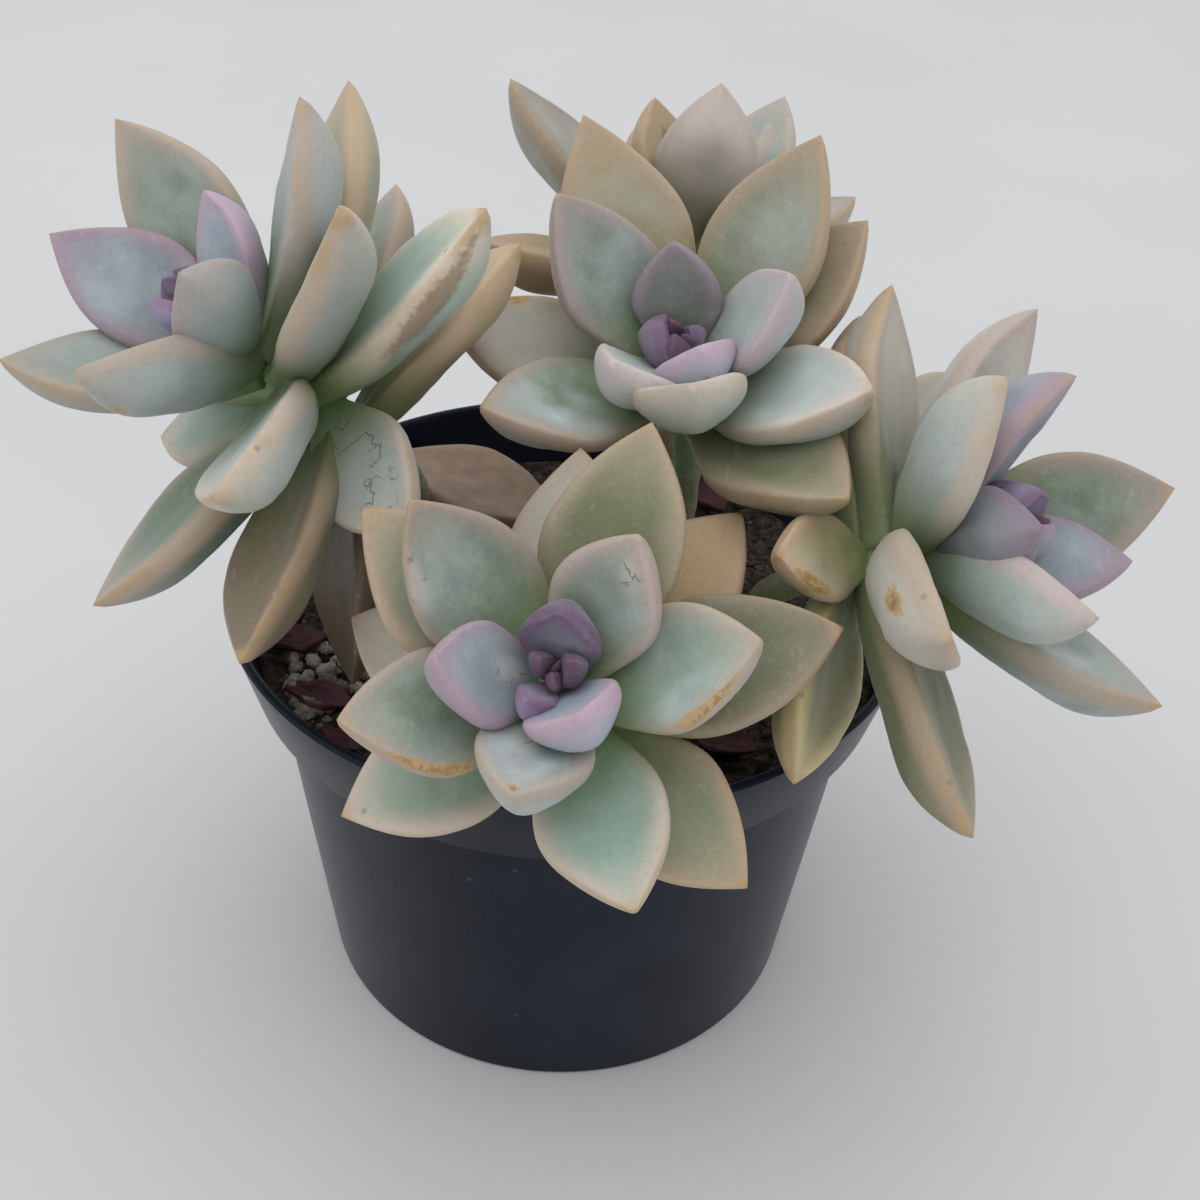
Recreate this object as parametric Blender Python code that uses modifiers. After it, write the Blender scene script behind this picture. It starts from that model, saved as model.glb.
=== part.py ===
"""Potted graptopetalum: five leafy rosettes on short stems in a squat black nursery pot.

Units are metres, +Z is up, and the origin is the middle of the pot's base, on the ground.
The viewer's side of the plant faces -Y.
"""
import math
from dataclasses import dataclass, field

import bmesh
import bpy
from mathutils import Matrix, Vector
from mathutils.bvhtree import BVHTree

COLLECTION = "potted_graptopetalum"
GAP = 0.0003
MERGE = 0.00001
SHARP_ANGLE = 40

# Pot
RIM_RADIUS = 0.0500
POT_HEIGHT = 0.0680
BAND_HEIGHT = 0.0120
BAND_FOOT_RADIUS = 0.0470
BODY_TOP_RADIUS = 0.0437
BASE_RADIUS = 0.0375
WALL = 0.0013
FLOOR = 0.0022
EDGE = 0.0009
POT_SIDES = 44
POT_TURN = 1.7
DRAIN_HOLES = 5
DRAIN_RADIUS = 0.0040
DRAIN_RING = 0.0260
DRAIN_SIDES = 16

# Soil
SOIL_LEVEL = 0.0580
SOIL_RELIEF = 0.0008
SOIL_RINGS = 8
SOIL_SIDES = 36
SOIL_FADE = 0.006
SOIL_SHOULDER = 1.5
# Each wave of the soil's top: its share, turns in radians a metre along X and Y, its phase.
SOIL_WAVES = (
    (0.5, 610, 540, 0.9),
    (0.5, 610, -540, 1.7),
    (0.7, 1130, -870, 2.1),
    (0.5, 420, 1310, math.pi / 2),
)
STEM_DEPTH = 0.0160
STEM_PLAY = 0.00045
STEM_HOLE_SIDES = 12

# Leaves
GOLDEN_ANGLE = math.radians(137.5)
BUDS = 2
BUD_STEP = 0.2
GROWN_LEAF = 14
TILT_POWER = 0.8
LENGTH_POWER = 0.7
WIDTH_POWER = 0.33
LEAF_WIDTH = 0.0175
BUD_WIDTH_SHARE = 0.28
LEAF_THICKNESS = 0.0015
THICKNESS_SHARE = 0.30
YOUNG_CURL = 40
OLD_CURL = 14
OLD_LEAF = 12
CURL_LOSS = 2.25
CLOSED_BASE = 0.02
WIDEST = 0.54
BASE_WIDTH_SHARE = 0.36
TIP_POWER = 1.9
BELLY_MIDDLE = 0.42
BELLY_REACH = 0.62
TIP_FULLNESS = 10
MARGIN_POWER = 0.85
UPPER_SHARE = 0.20
KEEL = 0.22
KEEL_MIDDLE = 0.80
KEEL_REACH = 0.17
KEEL_POWER = 3
DISH = 0.25
LEAF_SIDES = 8
LEAF_RINGS = 5
STEM_RADIUS = 0.0020
STEM_FOOT = 0.001
STEM_STEPS = 7
STEM_BEND = 0.5
STEM_END = 0.4
STEM_ROUNDNESS = 2


@dataclass(frozen=True)
class Rosette:
    """One head of leaves on its stem.

    The leaves follow a spiral: each is a golden angle round from the one before it, lower on
    the stem, longer and laid further out. `turn` is the way the spiral runs, +1 or -1.
    `tilt` and `length` go from the youngest leaf to a grown one. `nudges` names the leaves
    that stand off the spiral, as (degrees round, degrees outwards, share longer), and
    `fallen` the ones that the stem has lost.
    """

    name: str
    root: tuple[float, float]
    crown: tuple[float, float, float]
    lean: float
    heading: float
    spin: float
    turn: int
    tilt: tuple[float, float]
    length: tuple[float, float]
    drop: float
    leaves: int
    fallen: tuple[int, ...] = ()
    nudges: dict = field(default_factory=dict)

    @property
    def axis(self):
        """Direction in which the rosette faces."""
        lean, heading = math.radians(self.lean), math.radians(self.heading)
        return Vector((
            math.sin(lean) * math.cos(heading),
            math.sin(lean) * math.sin(heading),
            math.cos(lean),
        ))


ROSETTES = (
    Rosette(
        name="rosette_front",
        root=(0.002, -0.030), crown=(0.0, -0.0525, 0.0905), lean=34, heading=-99,
        spin=147, turn=-1, tilt=(19, 95), length=(0.0095, 0.0355), drop=0.00075,
        leaves=20, fallen=(13, 18),
        nudges={
            0: (13, 11, 0.0), 1: (-14, -4, -0.10), 2: (-15, -5, 0.0), 3: (7, 1, 0.0),
            4: (16, 0, 0.10), 5: (-2, -4, -0.05), 6: (8, 3, 0.20), 7: (21, -2, 0.05),
            8: (-14, -3, 0.0), 9: (0, -2, 0.20), 10: (-3, -2, -0.05), 11: (-17, -11, 0.05),
            12: (-3, 0, 0.05), 14: (-15, -7, -0.05), 15: (-9, 1, -0.15), 16: (16, 2, -0.15),
            17: (2, 2, 0.0), 19: (17, 7, -0.05),
        },
    ),
    Rosette(
        name="rosette_centre",
        root=(0.015, 0.004), crown=(0.0135, -0.0030, 0.1055), lean=24, heading=-108,
        spin=325, turn=1, tilt=(18, 69), length=(0.0095, 0.0390), drop=0.00065,
        leaves=16, fallen=(12,),
        nudges={
            0: (-11, -3, -0.35), 1: (9, -13, -0.35), 2: (-19, 2, -0.05), 3: (1, -4, -0.10),
            4: (6, 1, -0.05), 5: (-3, -3, 0.0), 6: (-6, 0, 0.15), 7: (-2, -9, 0.0),
            8: (-8, 2, 0.25), 9: (12, 9, 0.0), 10: (-3, 1, 0.0), 11: (2, -4, 0.15),
            13: (8, -4, -0.10), 14: (3, 2, -0.10), 15: (8, -4, -0.05),
        },
    ),
    Rosette(
        name="rosette_right",
        root=(0.028, -0.012), crown=(0.0505, -0.0270, 0.0965), lean=61, heading=-13,
        spin=5, turn=1, tilt=(17, 75), length=(0.0105, 0.0400), drop=0.00085,
        leaves=20, fallen=(12, 17),
        nudges={
            0: (-1, 4, 0.0), 1: (-1, -18, -0.30), 2: (-12, -5, -0.35), 3: (6, 11, -0.05),
            4: (3, -7, 0.0), 5: (1, -6, 0.05), 6: (-7, -4, 0.0), 7: (-9, -13, 0.20),
            8: (-5, -2, 0.05), 9: (0, -9, 0.10), 10: (3, -6, 0.05), 11: (0, 5, 0.0),
            13: (-40, 9, -0.05), 14: (-4, 5, -0.05), 15: (8, 5, 0.0), 16: (2, 35, -0.55),
            18: (-15, 9, -0.10), 19: (20, 33, -0.25),
        },
    ),
    Rosette(
        name="rosette_left",
        root=(-0.027, 0.002), crown=(-0.0455, -0.0095, 0.1105), lean=46, heading=-169,
        spin=240, turn=-1, tilt=(17, 82), length=(0.0105, 0.0420), drop=0.00090,
        leaves=26, fallen=(3, 11, 20, 22, 23),
        nudges={
            0: (2, -1, -0.05), 1: (0, -10, -0.35), 2: (-25, 20, 0.25), 4: (2, 6, -0.15),
            5: (-19, 2, 0.15), 6: (-12, -11, 0.15), 7: (6, 4, 0.15), 8: (-46, -15, 0.05),
            9: (1, -18, 0.20), 10: (19, 0, 0.10), 12: (2, -7, 0.0), 13: (15, -5, -0.05),
            16: (-2, 1, -0.05), 17: (-2, 8, -0.05), 18: (-6, 27, -0.30),
            19: (-4, -1, -0.15), 21: (9, 8, -0.05), 24: (36, 43, -0.15), 25: (-39, 6, -0.20),
        },
    ),
    Rosette(
        name="rosette_back",
        root=(0.014, 0.027), crown=(0.0160, 0.0370, 0.1090), lean=14, heading=71,
        spin=195, turn=1, tilt=(16, 77), length=(0.0105, 0.0380), drop=0.00070,
        leaves=16, fallen=(9, 12),
        nudges={
            4: (-6, -12, 0.15), 5: (-6, -2, 0.10), 6: (6, 3, -0.15), 7: (-6, 4, -0.10),
            8: (3, 2, 0.0), 10: (3, 7, -0.10), 11: (1, -10, 0.15), 14: (-10, 7, -0.10),
            15: (-6, -8, -0.35),
        },
    ),
)


@dataclass(frozen=True)
class LooseLeaf:
    """A leaf off its stem, on the soil: where its base and its tip lie, and its size."""

    name: str
    base: tuple[float, float]
    tip: tuple[float, float]
    width: float
    thickness: float
    rise: float = 0.0
    curl: float = 0.0


LOOSE_LEAVES = (
    LooseLeaf("fallen_leaf", (-0.0020, 0.0190), (-0.0290, 0.0330), 0.0170, 0.0066, rise=7),
    LooseLeaf("dry_leaf_left", (-0.0390, -0.0190), (-0.0290, -0.0225), 0.0055, 0.0016, curl=12),
    LooseLeaf("dry_leaf_rim", (-0.0325, -0.0275), (-0.0270, -0.0320), 0.0032, 0.0014, curl=10),
    LooseLeaf("dry_leaf_side", (-0.0425, -0.0100), (-0.0350, -0.0080), 0.0052, 0.0016, curl=12),
    LooseLeaf("dry_leaf_back", (0.0190, 0.0390), (0.0240, 0.0300), 0.0055, 0.0016, curl=12),
    LooseLeaf("dry_leaf_right", (0.0170, -0.0240), (0.0270, -0.0280), 0.0060, 0.0016, curl=12),
)


def clear_scene():
    """Remove every object and every extra collection."""
    for item in list(bpy.data.objects):
        bpy.data.objects.remove(item, do_unlink=True)
    for group in list(bpy.data.collections):
        bpy.data.collections.remove(group)


def new_collection(name):
    """Add a collection to the scene and return it."""
    group = bpy.data.collections.new(name)
    bpy.context.scene.collection.children.link(group)
    return group


def new_material(name, colour, roughness, metallic=0.0):
    """Return a plain Principled material."""
    material = bpy.data.materials.new(name)
    material.use_nodes = True
    shader = material.node_tree.nodes["Principled BSDF"]
    shader.inputs["Base Color"].default_value = (*colour, 1.0)
    shader.inputs["Roughness"].default_value = roughness
    shader.inputs["Metallic"].default_value = metallic
    material.diffuse_color = (*colour, 1.0)
    return material


def add_object(name, mesh, group, material=None):
    """Wrap a mesh in an object, link it to a collection and give it a material."""
    item = bpy.data.objects.new(name, mesh)
    group.objects.link(item)
    if material is not None:
        mesh.materials.clear()
        mesh.materials.append(material)
    return item


def apply_modifiers(item):
    """Bake an object's modifiers into its mesh."""
    graph = bpy.context.evaluated_depsgraph_get()
    baked = bpy.data.meshes.new_from_object(item.evaluated_get(graph))
    item.modifiers.clear()
    item.data = baked


def turned(name, profile, group, material, sides, start=0.0):
    """Turn a closed (radius, height) profile about Z, from an angle in degrees.

    The profile starts and ends on the axis, and runs down its outer side.
    """
    bm = bmesh.new()
    cos, sin = math.cos(math.radians(start)), math.sin(math.radians(start))
    verts = [bm.verts.new((radius * cos, radius * sin, height)) for radius, height in profile]
    for first, second in zip(verts, verts[1:]):
        bm.edges.new((first, second))
    mesh = bpy.data.meshes.new(name)
    bm.to_mesh(mesh)
    bm.free()
    item = add_object(name, mesh, group, material)
    screw = item.modifiers.new("turn", "SCREW")
    screw.axis = "Z"
    screw.steps = sides
    screw.render_steps = sides
    screw.use_merge_vertices = True
    screw.merge_threshold = MERGE
    screw.use_smooth_shade = False
    return item


def cylinder_cutter(name, radius, low, high, x, y, group, sides):
    """Return an upright cylinder from `low` to `high`, kept only to cut with."""
    bm = bmesh.new()
    bmesh.ops.create_cone(
        bm, cap_ends=True, segments=sides, radius1=radius, radius2=radius, depth=high - low,
        matrix=Matrix.Translation((x, y, (low + high) / 2)),
    )
    mesh = bpy.data.meshes.new(name)
    bm.to_mesh(mesh)
    bm.free()
    item = add_object(name, mesh, group)
    item.hide_render = True
    item.display_type = "WIRE"
    return item


def cut(item, cutter):
    """Take a cutter out of an object with a Boolean modifier."""
    boolean = item.modifiers.new(cutter.name, "BOOLEAN")
    boolean.operation = "DIFFERENCE"
    boolean.solver = "EXACT"
    boolean.object = cutter


def face_out(bm):
    """Split a closed body into triangles, all facing outwards."""
    bmesh.ops.triangulate(bm, faces=bm.faces)
    bmesh.ops.recalc_face_normals(bm, faces=bm.faces)
    if bm.calc_volume(signed=True) < 0:
        bmesh.ops.reverse_faces(bm, faces=bm.faces)


def shade_round(mesh):
    """Shade a mesh smooth, with its sharp edges kept."""
    mesh.shade_smooth()
    mesh.set_sharp_from_angle(angle=math.radians(SHARP_ANGLE))


def inner_radius(height):
    """Radius of the pot's inside below the band, at a height."""
    share = height / (POT_HEIGHT - BAND_HEIGHT)
    return BASE_RADIUS + (BODY_TOP_RADIUS - BASE_RADIUS) * share - WALL


def make_pot(group, cutters, material):
    """Pot: tapered body, wider band round the top, flat base with drain holes.

    Its profile runs from the middle of the floor up the inside, over the rim, down the
    outside and to the middle of the base. Its flats are turned a little off the X and Y
    axes, and the drain holes with them.
    """
    band_foot = POT_HEIGHT - BAND_HEIGHT
    ledge = band_foot - EDGE - WALL
    profile = [
        (0.0, FLOOR),
        (inner_radius(FLOOR), FLOOR),
        (inner_radius(ledge), ledge),
        (BAND_FOOT_RADIUS - WALL, band_foot + WALL / 2),
        (RIM_RADIUS - WALL - EDGE, POT_HEIGHT - EDGE),
        (RIM_RADIUS - EDGE, POT_HEIGHT),
        (RIM_RADIUS, POT_HEIGHT - EDGE),
        (BAND_FOOT_RADIUS, band_foot),
        (BODY_TOP_RADIUS, band_foot - EDGE),
        (BASE_RADIUS, EDGE),
        (BASE_RADIUS - EDGE, 0.0),
        (0.0, 0.0),
    ]
    pot = turned("pot", profile, group, material, POT_SIDES, POT_TURN)
    for index in range(DRAIN_HOLES):
        angle = math.radians(POT_TURN) + 2 * math.pi * index / DRAIN_HOLES
        hole = cylinder_cutter(
            f"drain_cutter_{index + 1}", DRAIN_RADIUS, -FLOOR, 2 * FLOOR,
            DRAIN_RING * math.cos(angle), DRAIN_RING * math.sin(angle), cutters, DRAIN_SIDES,
        )
        cut(pot, hole)
    return pot


def soil_relief(x, y):
    """Height of the soil's lumps above its level, from a few crossed waves."""
    height = sum(
        share * math.sin(x * along_x + y * along_y + phase)
        for share, along_x, along_y, phase in SOIL_WAVES
    )
    return SOIL_RELIEF * height / sum(wave[0] for wave in SOIL_WAVES)


def make_soil(group, cutters, material):
    """Soil: fills the pot to its level, lumpy on top, with a plain hole for each stem."""
    band_foot = POT_HEIGHT - BAND_HEIGHT
    ledge = band_foot - EDGE - WALL
    edge_radius = BAND_FOOT_RADIUS - WALL - 2 * GAP
    profile = [(edge_radius * index / SOIL_RINGS, SOIL_LEVEL) for index in range(SOIL_RINGS + 1)]
    profile += [
        (edge_radius, band_foot + SOIL_SHOULDER * WALL),
        (inner_radius(ledge) - 2 * GAP, ledge),
        (inner_radius(FLOOR) - 2 * GAP, FLOOR + GAP),
        (0.0, FLOOR + GAP),
    ]
    soil = turned("soil", profile, group, material, SOIL_SIDES)
    apply_modifiers(soil)
    bm = bmesh.new()
    bm.from_mesh(soil.data)
    face_out(bm)
    for vert in bm.verts:
        x, y, z = vert.co
        inside = edge_radius - math.hypot(x, y)
        if z > SOIL_LEVEL - GAP and inside > GAP:
            vert.co.z = z + soil_relief(x, y) * min(1.0, inside / SOIL_FADE)
    bm.to_mesh(soil.data)
    bm.free()
    for rosette in ROSETTES:
        hole = cylinder_cutter(
            f"{rosette.name}_hole", STEM_RADIUS + STEM_PLAY, SOIL_LEVEL - STEM_DEPTH - GAP,
            POT_HEIGHT, *rosette.root, cutters, STEM_HOLE_SIDES,
        )
        cut(soil, hole)
    return soil


def half_width(share):
    """Half-width of a leaf at a share of its length, as a share of its greatest half-width."""
    if share < WIDEST:
        rise = share / WIDEST
        return BASE_WIDTH_SHARE + (1 - BASE_WIDTH_SHARE) * rise * rise * (3 - 2 * rise)
    return 1 - ((share - WIDEST) / (1 - WIDEST)) ** TIP_POWER


def depth_share(share):
    """Thickness of a leaf at a share of its length, as a share of its greatest thickness."""
    belly = math.sqrt(max(0.0, 1 - ((share - BELLY_MIDDLE) / BELLY_REACH) ** 2))
    return belly * math.sqrt(max(0.0, 1 - share ** TIP_FULLNESS))


def keel_share(share):
    """Depth of the keel under a leaf, which rises towards the tip."""
    return KEEL * math.exp(-((share - KEEL_MIDDLE) / KEEL_REACH) ** 2)


def leaf_section(share, angle, width, thickness):
    """Point of a leaf's cross-section: across the leaf and up from its spine.

    Args:
        share: place along the leaf, 0 at the stem and 1 at the tip.
        angle: way round the section, from the right margin over the upper side.
    """
    across, up = math.cos(angle), math.sin(angle)
    closed = min(1.0, share / CLOSED_BASE)
    half = half_width(share) * width / 2 * closed
    full = depth_share(share) * thickness * closed
    side = UPPER_SHARE if up > 0 else 1 - UPPER_SHARE
    rise = math.copysign(abs(up) ** MARGIN_POWER, up) * full * side
    if up < 0:
        rise -= full * keel_share(share) * abs(up) ** KEEL_POWER
    return half * across, rise + DISH * half * across * across


@dataclass(frozen=True)
class Leaf:
    """Where one leaf stands and how large it is."""

    base: Vector
    axis: Vector
    out: Vector
    tilt: float
    curl: float
    length: float
    width: float
    thickness: float

    def spine(self, share):
        """Point on the leaf's spine, outwards and along the axis, and the spine's slope.

        The spine is an arc from base to tip. It turns in by the leaf's curl on the way.
        """
        slope = self.tilt + self.curl * (0.5 - share)
        if abs(self.curl) < 1e-4:
            return (
                self.length * share * math.sin(self.tilt),
                self.length * share * math.cos(self.tilt),
                slope,
            )
        start = self.tilt + self.curl / 2
        radius = self.length / (2 * math.sin(self.curl / 2))
        return (
            radius * (math.cos(slope) - math.cos(start)),
            radius * (math.sin(start) - math.sin(slope)),
            slope,
        )

    def point(self, share, angle):
        """Point on the leaf's skin in world space."""
        outwards, along, slope = self.spine(share)
        across, up = leaf_section(share, angle, self.width, self.thickness)
        outwards -= up * math.cos(slope)
        along += up * math.sin(slope)
        side = self.out.cross(self.axis)
        return self.base + side * across + self.out * outwards + self.axis * along


def leaf_place(rosette, index):
    """Work out one leaf of a rosette from its place on the spiral."""
    axis = rosette.axis
    high = Vector((0.0, 0.0, 1.0))
    start = (high - axis * high.dot(axis)).normalized()
    side = axis.cross(start)
    turn_nudge, tilt_nudge, growth = rosette.nudges.get(index, (0, 0, 0.0))
    grown = min(1.0, max(0, index) / GROWN_LEAF)
    bud = 1 + BUD_STEP * min(0, index)
    young, old = rosette.tilt
    tilt = young * bud + (old - young) * grown ** TILT_POWER + tilt_nudge
    short, long = rosette.length
    length = short * bud + (long - short) * grown ** LENGTH_POWER
    width = LEAF_WIDTH * (BUD_WIDTH_SHARE * bud + (1 - BUD_WIDTH_SHARE) * grown ** WIDTH_POWER)
    width *= math.sqrt(1 + growth)
    curl = YOUNG_CURL - (YOUNG_CURL - OLD_CURL) * min(1.0, max(0, index) / OLD_LEAF)
    curl -= CURL_LOSS * max(0, index - OLD_LEAF)
    round_angle = math.radians(rosette.spin + turn_nudge) + rosette.turn * GOLDEN_ANGLE * index
    return Leaf(
        base=Vector(rosette.crown) - axis * (rosette.drop * index),
        axis=axis,
        out=start * math.cos(round_angle) + side * math.sin(round_angle),
        tilt=math.radians(tilt),
        curl=math.radians(curl),
        length=length * (1 + growth),
        width=width,
        thickness=THICKNESS_SHARE * width + LEAF_THICKNESS,
    )


def make_leaf(name, leaf, group, material=None):
    """Leaf: a sphere pulled out along the spine, from the stem's middle to the tip."""
    bm = bmesh.new()
    bmesh.ops.create_uvsphere(bm, u_segments=LEAF_SIDES, v_segments=LEAF_RINGS, radius=1.0)
    for vert in bm.verts:
        share = math.acos(max(-1.0, min(1.0, -vert.co.z))) / math.pi
        angle = math.atan2(vert.co.y, vert.co.x)
        vert.co = leaf.point(share, angle)
    face_out(bm)
    mesh = bpy.data.meshes.new(name)
    bm.to_mesh(mesh)
    bm.free()
    return add_object(name, mesh, group, material)


def stem_points(rosette):
    """Middle of a stem: upright out of the soil, a smooth bend, then straight to the buds."""
    x, y = rosette.root
    foot = Vector((x, y, SOIL_LEVEL + STEM_FOOT))
    crown = Vector(rosette.crown)
    neck = crown - rosette.axis * (rosette.drop * (rosette.leaves - 1) + STEM_RADIUS)
    reach = (neck - foot).length * STEM_BEND
    first = foot + Vector((0.0, 0.0, reach))
    second = neck - rosette.axis * reach
    points = [Vector((x, y, SOIL_LEVEL - STEM_DEPTH))]
    for index in range(STEM_STEPS + 1):
        share = index / STEM_STEPS
        left = 1 - share
        points.append(
            foot * left ** 3 + first * 3 * left ** 2 * share
            + second * 3 * left * share ** 2 + neck * share ** 3
        )
    points.append(crown + rosette.axis * (rosette.drop * (BUDS + STEM_END)))
    return points


def make_stem(rosette, group):
    """Stem: a round tube along its points, turned into a closed mesh."""
    points = stem_points(rosette)
    curve = bpy.data.curves.new(rosette.name, "CURVE")
    curve.dimensions = "3D"
    curve.bevel_depth = STEM_RADIUS
    curve.bevel_resolution = STEM_ROUNDNESS
    curve.use_fill_caps = True
    spline = curve.splines.new("POLY")
    spline.points.add(len(points) - 1)
    for target, point in zip(spline.points, points):
        target.co = (*point, 1.0)
    tube = bpy.data.objects.new(rosette.name + "_tube", curve)
    group.objects.link(tube)
    graph = bpy.context.evaluated_depsgraph_get()
    mesh = bpy.data.meshes.new_from_object(tube.evaluated_get(graph))
    bm = bmesh.new()
    bm.from_mesh(mesh)
    bmesh.ops.remove_doubles(bm, verts=bm.verts, dist=MERGE)
    face_out(bm)
    bm.to_mesh(mesh)
    bm.free()
    bpy.data.objects.remove(tube, do_unlink=True)
    mesh.name = rosette.name
    return mesh


def keep_outer_skin(mesh):
    """Close the pockets shut in between young leaves: only a mesh's outer skin stays."""
    bm = bmesh.new()
    bm.from_mesh(mesh)
    left = set(bm.verts)
    skins = []
    while left:
        front = [left.pop()]
        skin = set(front)
        while front:
            for edge in front.pop().link_edges:
                for vert in edge.verts:
                    if vert in left:
                        left.remove(vert)
                        skin.add(vert)
                        front.append(vert)
        skins.append(skin)
    outer = max(skins, key=len)
    bmesh.ops.delete(bm, geom=[vert for vert in bm.verts if vert not in outer], context="VERTS")
    bm.to_mesh(mesh)
    bm.free()


def make_rosette(rosette, group, material):
    """Rosette: the stem and all its leaves, joined into one body."""
    pieces = new_collection(rosette.name + "_leaves")
    stem = add_object(rosette.name, make_stem(rosette, group), group, material)
    for index in range(-BUDS, rosette.leaves):
        if index not in rosette.fallen:
            make_leaf(f"{rosette.name}_leaf", leaf_place(rosette, index), pieces)
    union = stem.modifiers.new("leaves", "BOOLEAN")
    union.operation = "UNION"
    union.solver = "EXACT"
    union.operand_type = "COLLECTION"
    union.collection = pieces
    apply_modifiers(stem)
    for item in list(pieces.objects):
        bpy.data.objects.remove(item, do_unlink=True)
    bpy.data.collections.remove(pieces)
    keep_outer_skin(stem.data)
    stem.data.materials.clear()
    stem.data.materials.append(material)
    shade_round(stem.data)
    return stem


def mesh_tree(mesh):
    """Search tree over a mesh's faces."""
    return BVHTree.FromPolygons(
        [vert.co for vert in mesh.vertices], [tuple(face.vertices) for face in mesh.polygons],
    )


def make_loose_leaf(loose, ground, group, material):
    """Loose leaf: lies on the soil, a hair above it at its lowest place."""
    base, tip = Vector((*loose.base, 0.0)), Vector((*loose.tip, 0.0))
    rise = math.radians(loose.rise)
    leaf = Leaf(
        base=base, axis=Vector((0.0, 0.0, 1.0)), out=(tip - base).normalized(),
        tilt=math.pi / 2 - rise, curl=math.radians(loose.curl),
        length=(tip - base).length / math.cos(rise), width=loose.width,
        thickness=loose.thickness,
    )
    item = make_leaf(loose.name, leaf, group, material)
    down, up = Vector((0.0, 0.0, -1.0)), Vector((0.0, 0.0, 1.0))
    soil, skin = mesh_tree(ground), mesh_tree(item.data)
    rooms = []
    for vert in item.data.vertices:
        hit = soil.ray_cast(Vector((vert.co.x, vert.co.y, POT_HEIGHT)), down)[0]
        rooms.append(vert.co.z - hit.z)
    for vert in ground.vertices:
        hit = skin.ray_cast(Vector((vert.co.x, vert.co.y, -POT_HEIGHT)), up)[0]
        if hit is not None and vert.co.z > SOIL_LEVEL / 2:
            rooms.append(hit.z - vert.co.z)
    item.data.transform(Matrix.Translation((0.0, 0.0, GAP - min(rooms))))
    shade_round(item.data)
    return item


def main():
    """Build the plant in its pot."""
    clear_scene()
    group = new_collection(COLLECTION)
    cutters = new_collection("cutters")
    plastic = new_material("pot_plastic", (0.020, 0.022, 0.027), 0.42)
    earth = new_material("potting_soil", (0.060, 0.045, 0.035), 0.95)
    green = new_material("leaf_bloom", (0.38, 0.50, 0.40), 0.60)
    tan = new_material("faded_leaf", (0.34, 0.22, 0.16), 0.70)
    burgundy = new_material("dry_leaf", (0.12, 0.035, 0.045), 0.80)
    make_pot(group, cutters, plastic)
    soil = make_soil(group, cutters, earth)
    for rosette in ROSETTES:
        make_rosette(rosette, group, green)
    for loose in LOOSE_LEAVES:
        make_loose_leaf(loose, soil.data, group, tan if loose.name == "fallen_leaf" else burgundy)


if __name__ == "__main__":
    main()
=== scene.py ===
"""Looks of a potted graptopetalum: five leafy rosettes in a squat black nursery pot.

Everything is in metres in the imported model's frame: +Z is up, the origin is the middle of
the pot's base, and the viewer stands on the -Y side.
"""
from __future__ import annotations

import logging
import math
import random
from dataclasses import dataclass, field
from enum import Enum

import bpy
import numpy as np
from mathutils import Matrix, Vector, noise

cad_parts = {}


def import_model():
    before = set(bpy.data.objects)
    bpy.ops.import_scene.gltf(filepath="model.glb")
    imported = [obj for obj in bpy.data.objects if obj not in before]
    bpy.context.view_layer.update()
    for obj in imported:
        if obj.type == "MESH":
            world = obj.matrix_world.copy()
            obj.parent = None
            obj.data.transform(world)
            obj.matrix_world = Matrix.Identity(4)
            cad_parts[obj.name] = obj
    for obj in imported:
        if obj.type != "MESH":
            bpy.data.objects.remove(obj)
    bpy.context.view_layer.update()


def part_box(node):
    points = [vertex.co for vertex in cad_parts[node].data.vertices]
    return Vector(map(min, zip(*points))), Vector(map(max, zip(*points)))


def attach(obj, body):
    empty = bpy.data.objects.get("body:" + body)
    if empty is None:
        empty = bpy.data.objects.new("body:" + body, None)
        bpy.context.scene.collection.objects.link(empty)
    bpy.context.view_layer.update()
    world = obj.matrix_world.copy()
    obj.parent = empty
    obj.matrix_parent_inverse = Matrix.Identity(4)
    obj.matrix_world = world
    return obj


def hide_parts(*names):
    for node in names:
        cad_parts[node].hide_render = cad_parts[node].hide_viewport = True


LOG = logging.getLogger("potted_graptopetalum")
Rgb = tuple[float, float, float]
Point = tuple[float, float, float]
Pair = tuple[float, float]


class Tone(Enum):
    """Colours of a leaf at one stage of its life: its heart, and its margin."""

    BUD = ((0.125, 0.074, 0.122), (0.160, 0.080, 0.145))
    MAUVE = ((0.256, 0.215, 0.322), (0.210, 0.124, 0.218))
    LILAC = ((0.326, 0.394, 0.458), (0.481, 0.351, 0.447))
    FROST = ((0.446, 0.511, 0.484), (0.590, 0.525, 0.445))
    SAGE = ((0.262, 0.335, 0.253), (0.546, 0.443, 0.366))
    MINT = ((0.335, 0.459, 0.386), (0.582, 0.511, 0.422))
    MOSS = ((0.240, 0.252, 0.130), (0.464, 0.385, 0.271))
    OLIVE = ((0.363, 0.363, 0.240), (0.549, 0.418, 0.282))
    BEIGE = ((0.575, 0.528, 0.455), (0.465, 0.388, 0.309))
    STRAW = ((0.505, 0.400, 0.225), (0.570, 0.415, 0.285))
    OCHRE = ((0.300, 0.285, 0.150), (0.720, 0.600, 0.310))
    TAN = ((0.482, 0.334, 0.169), (0.480, 0.340, 0.220))


class Wear(Enum):
    """Marks that a leaf carries, by their place in the stored vector."""

    SCAB = 0
    BURN = 1
    CRACK = 2


class Grain(Enum):
    """Kinds of loose grains in the soil: count, smallest and largest size, flatness."""

    PUMICE = (80, 0.0014, 0.0042, 0.75)
    BARK = (170, 0.0013, 0.0034, 0.40)
    GRIT = (620, 0.0005, 0.0012, 0.80)


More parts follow.
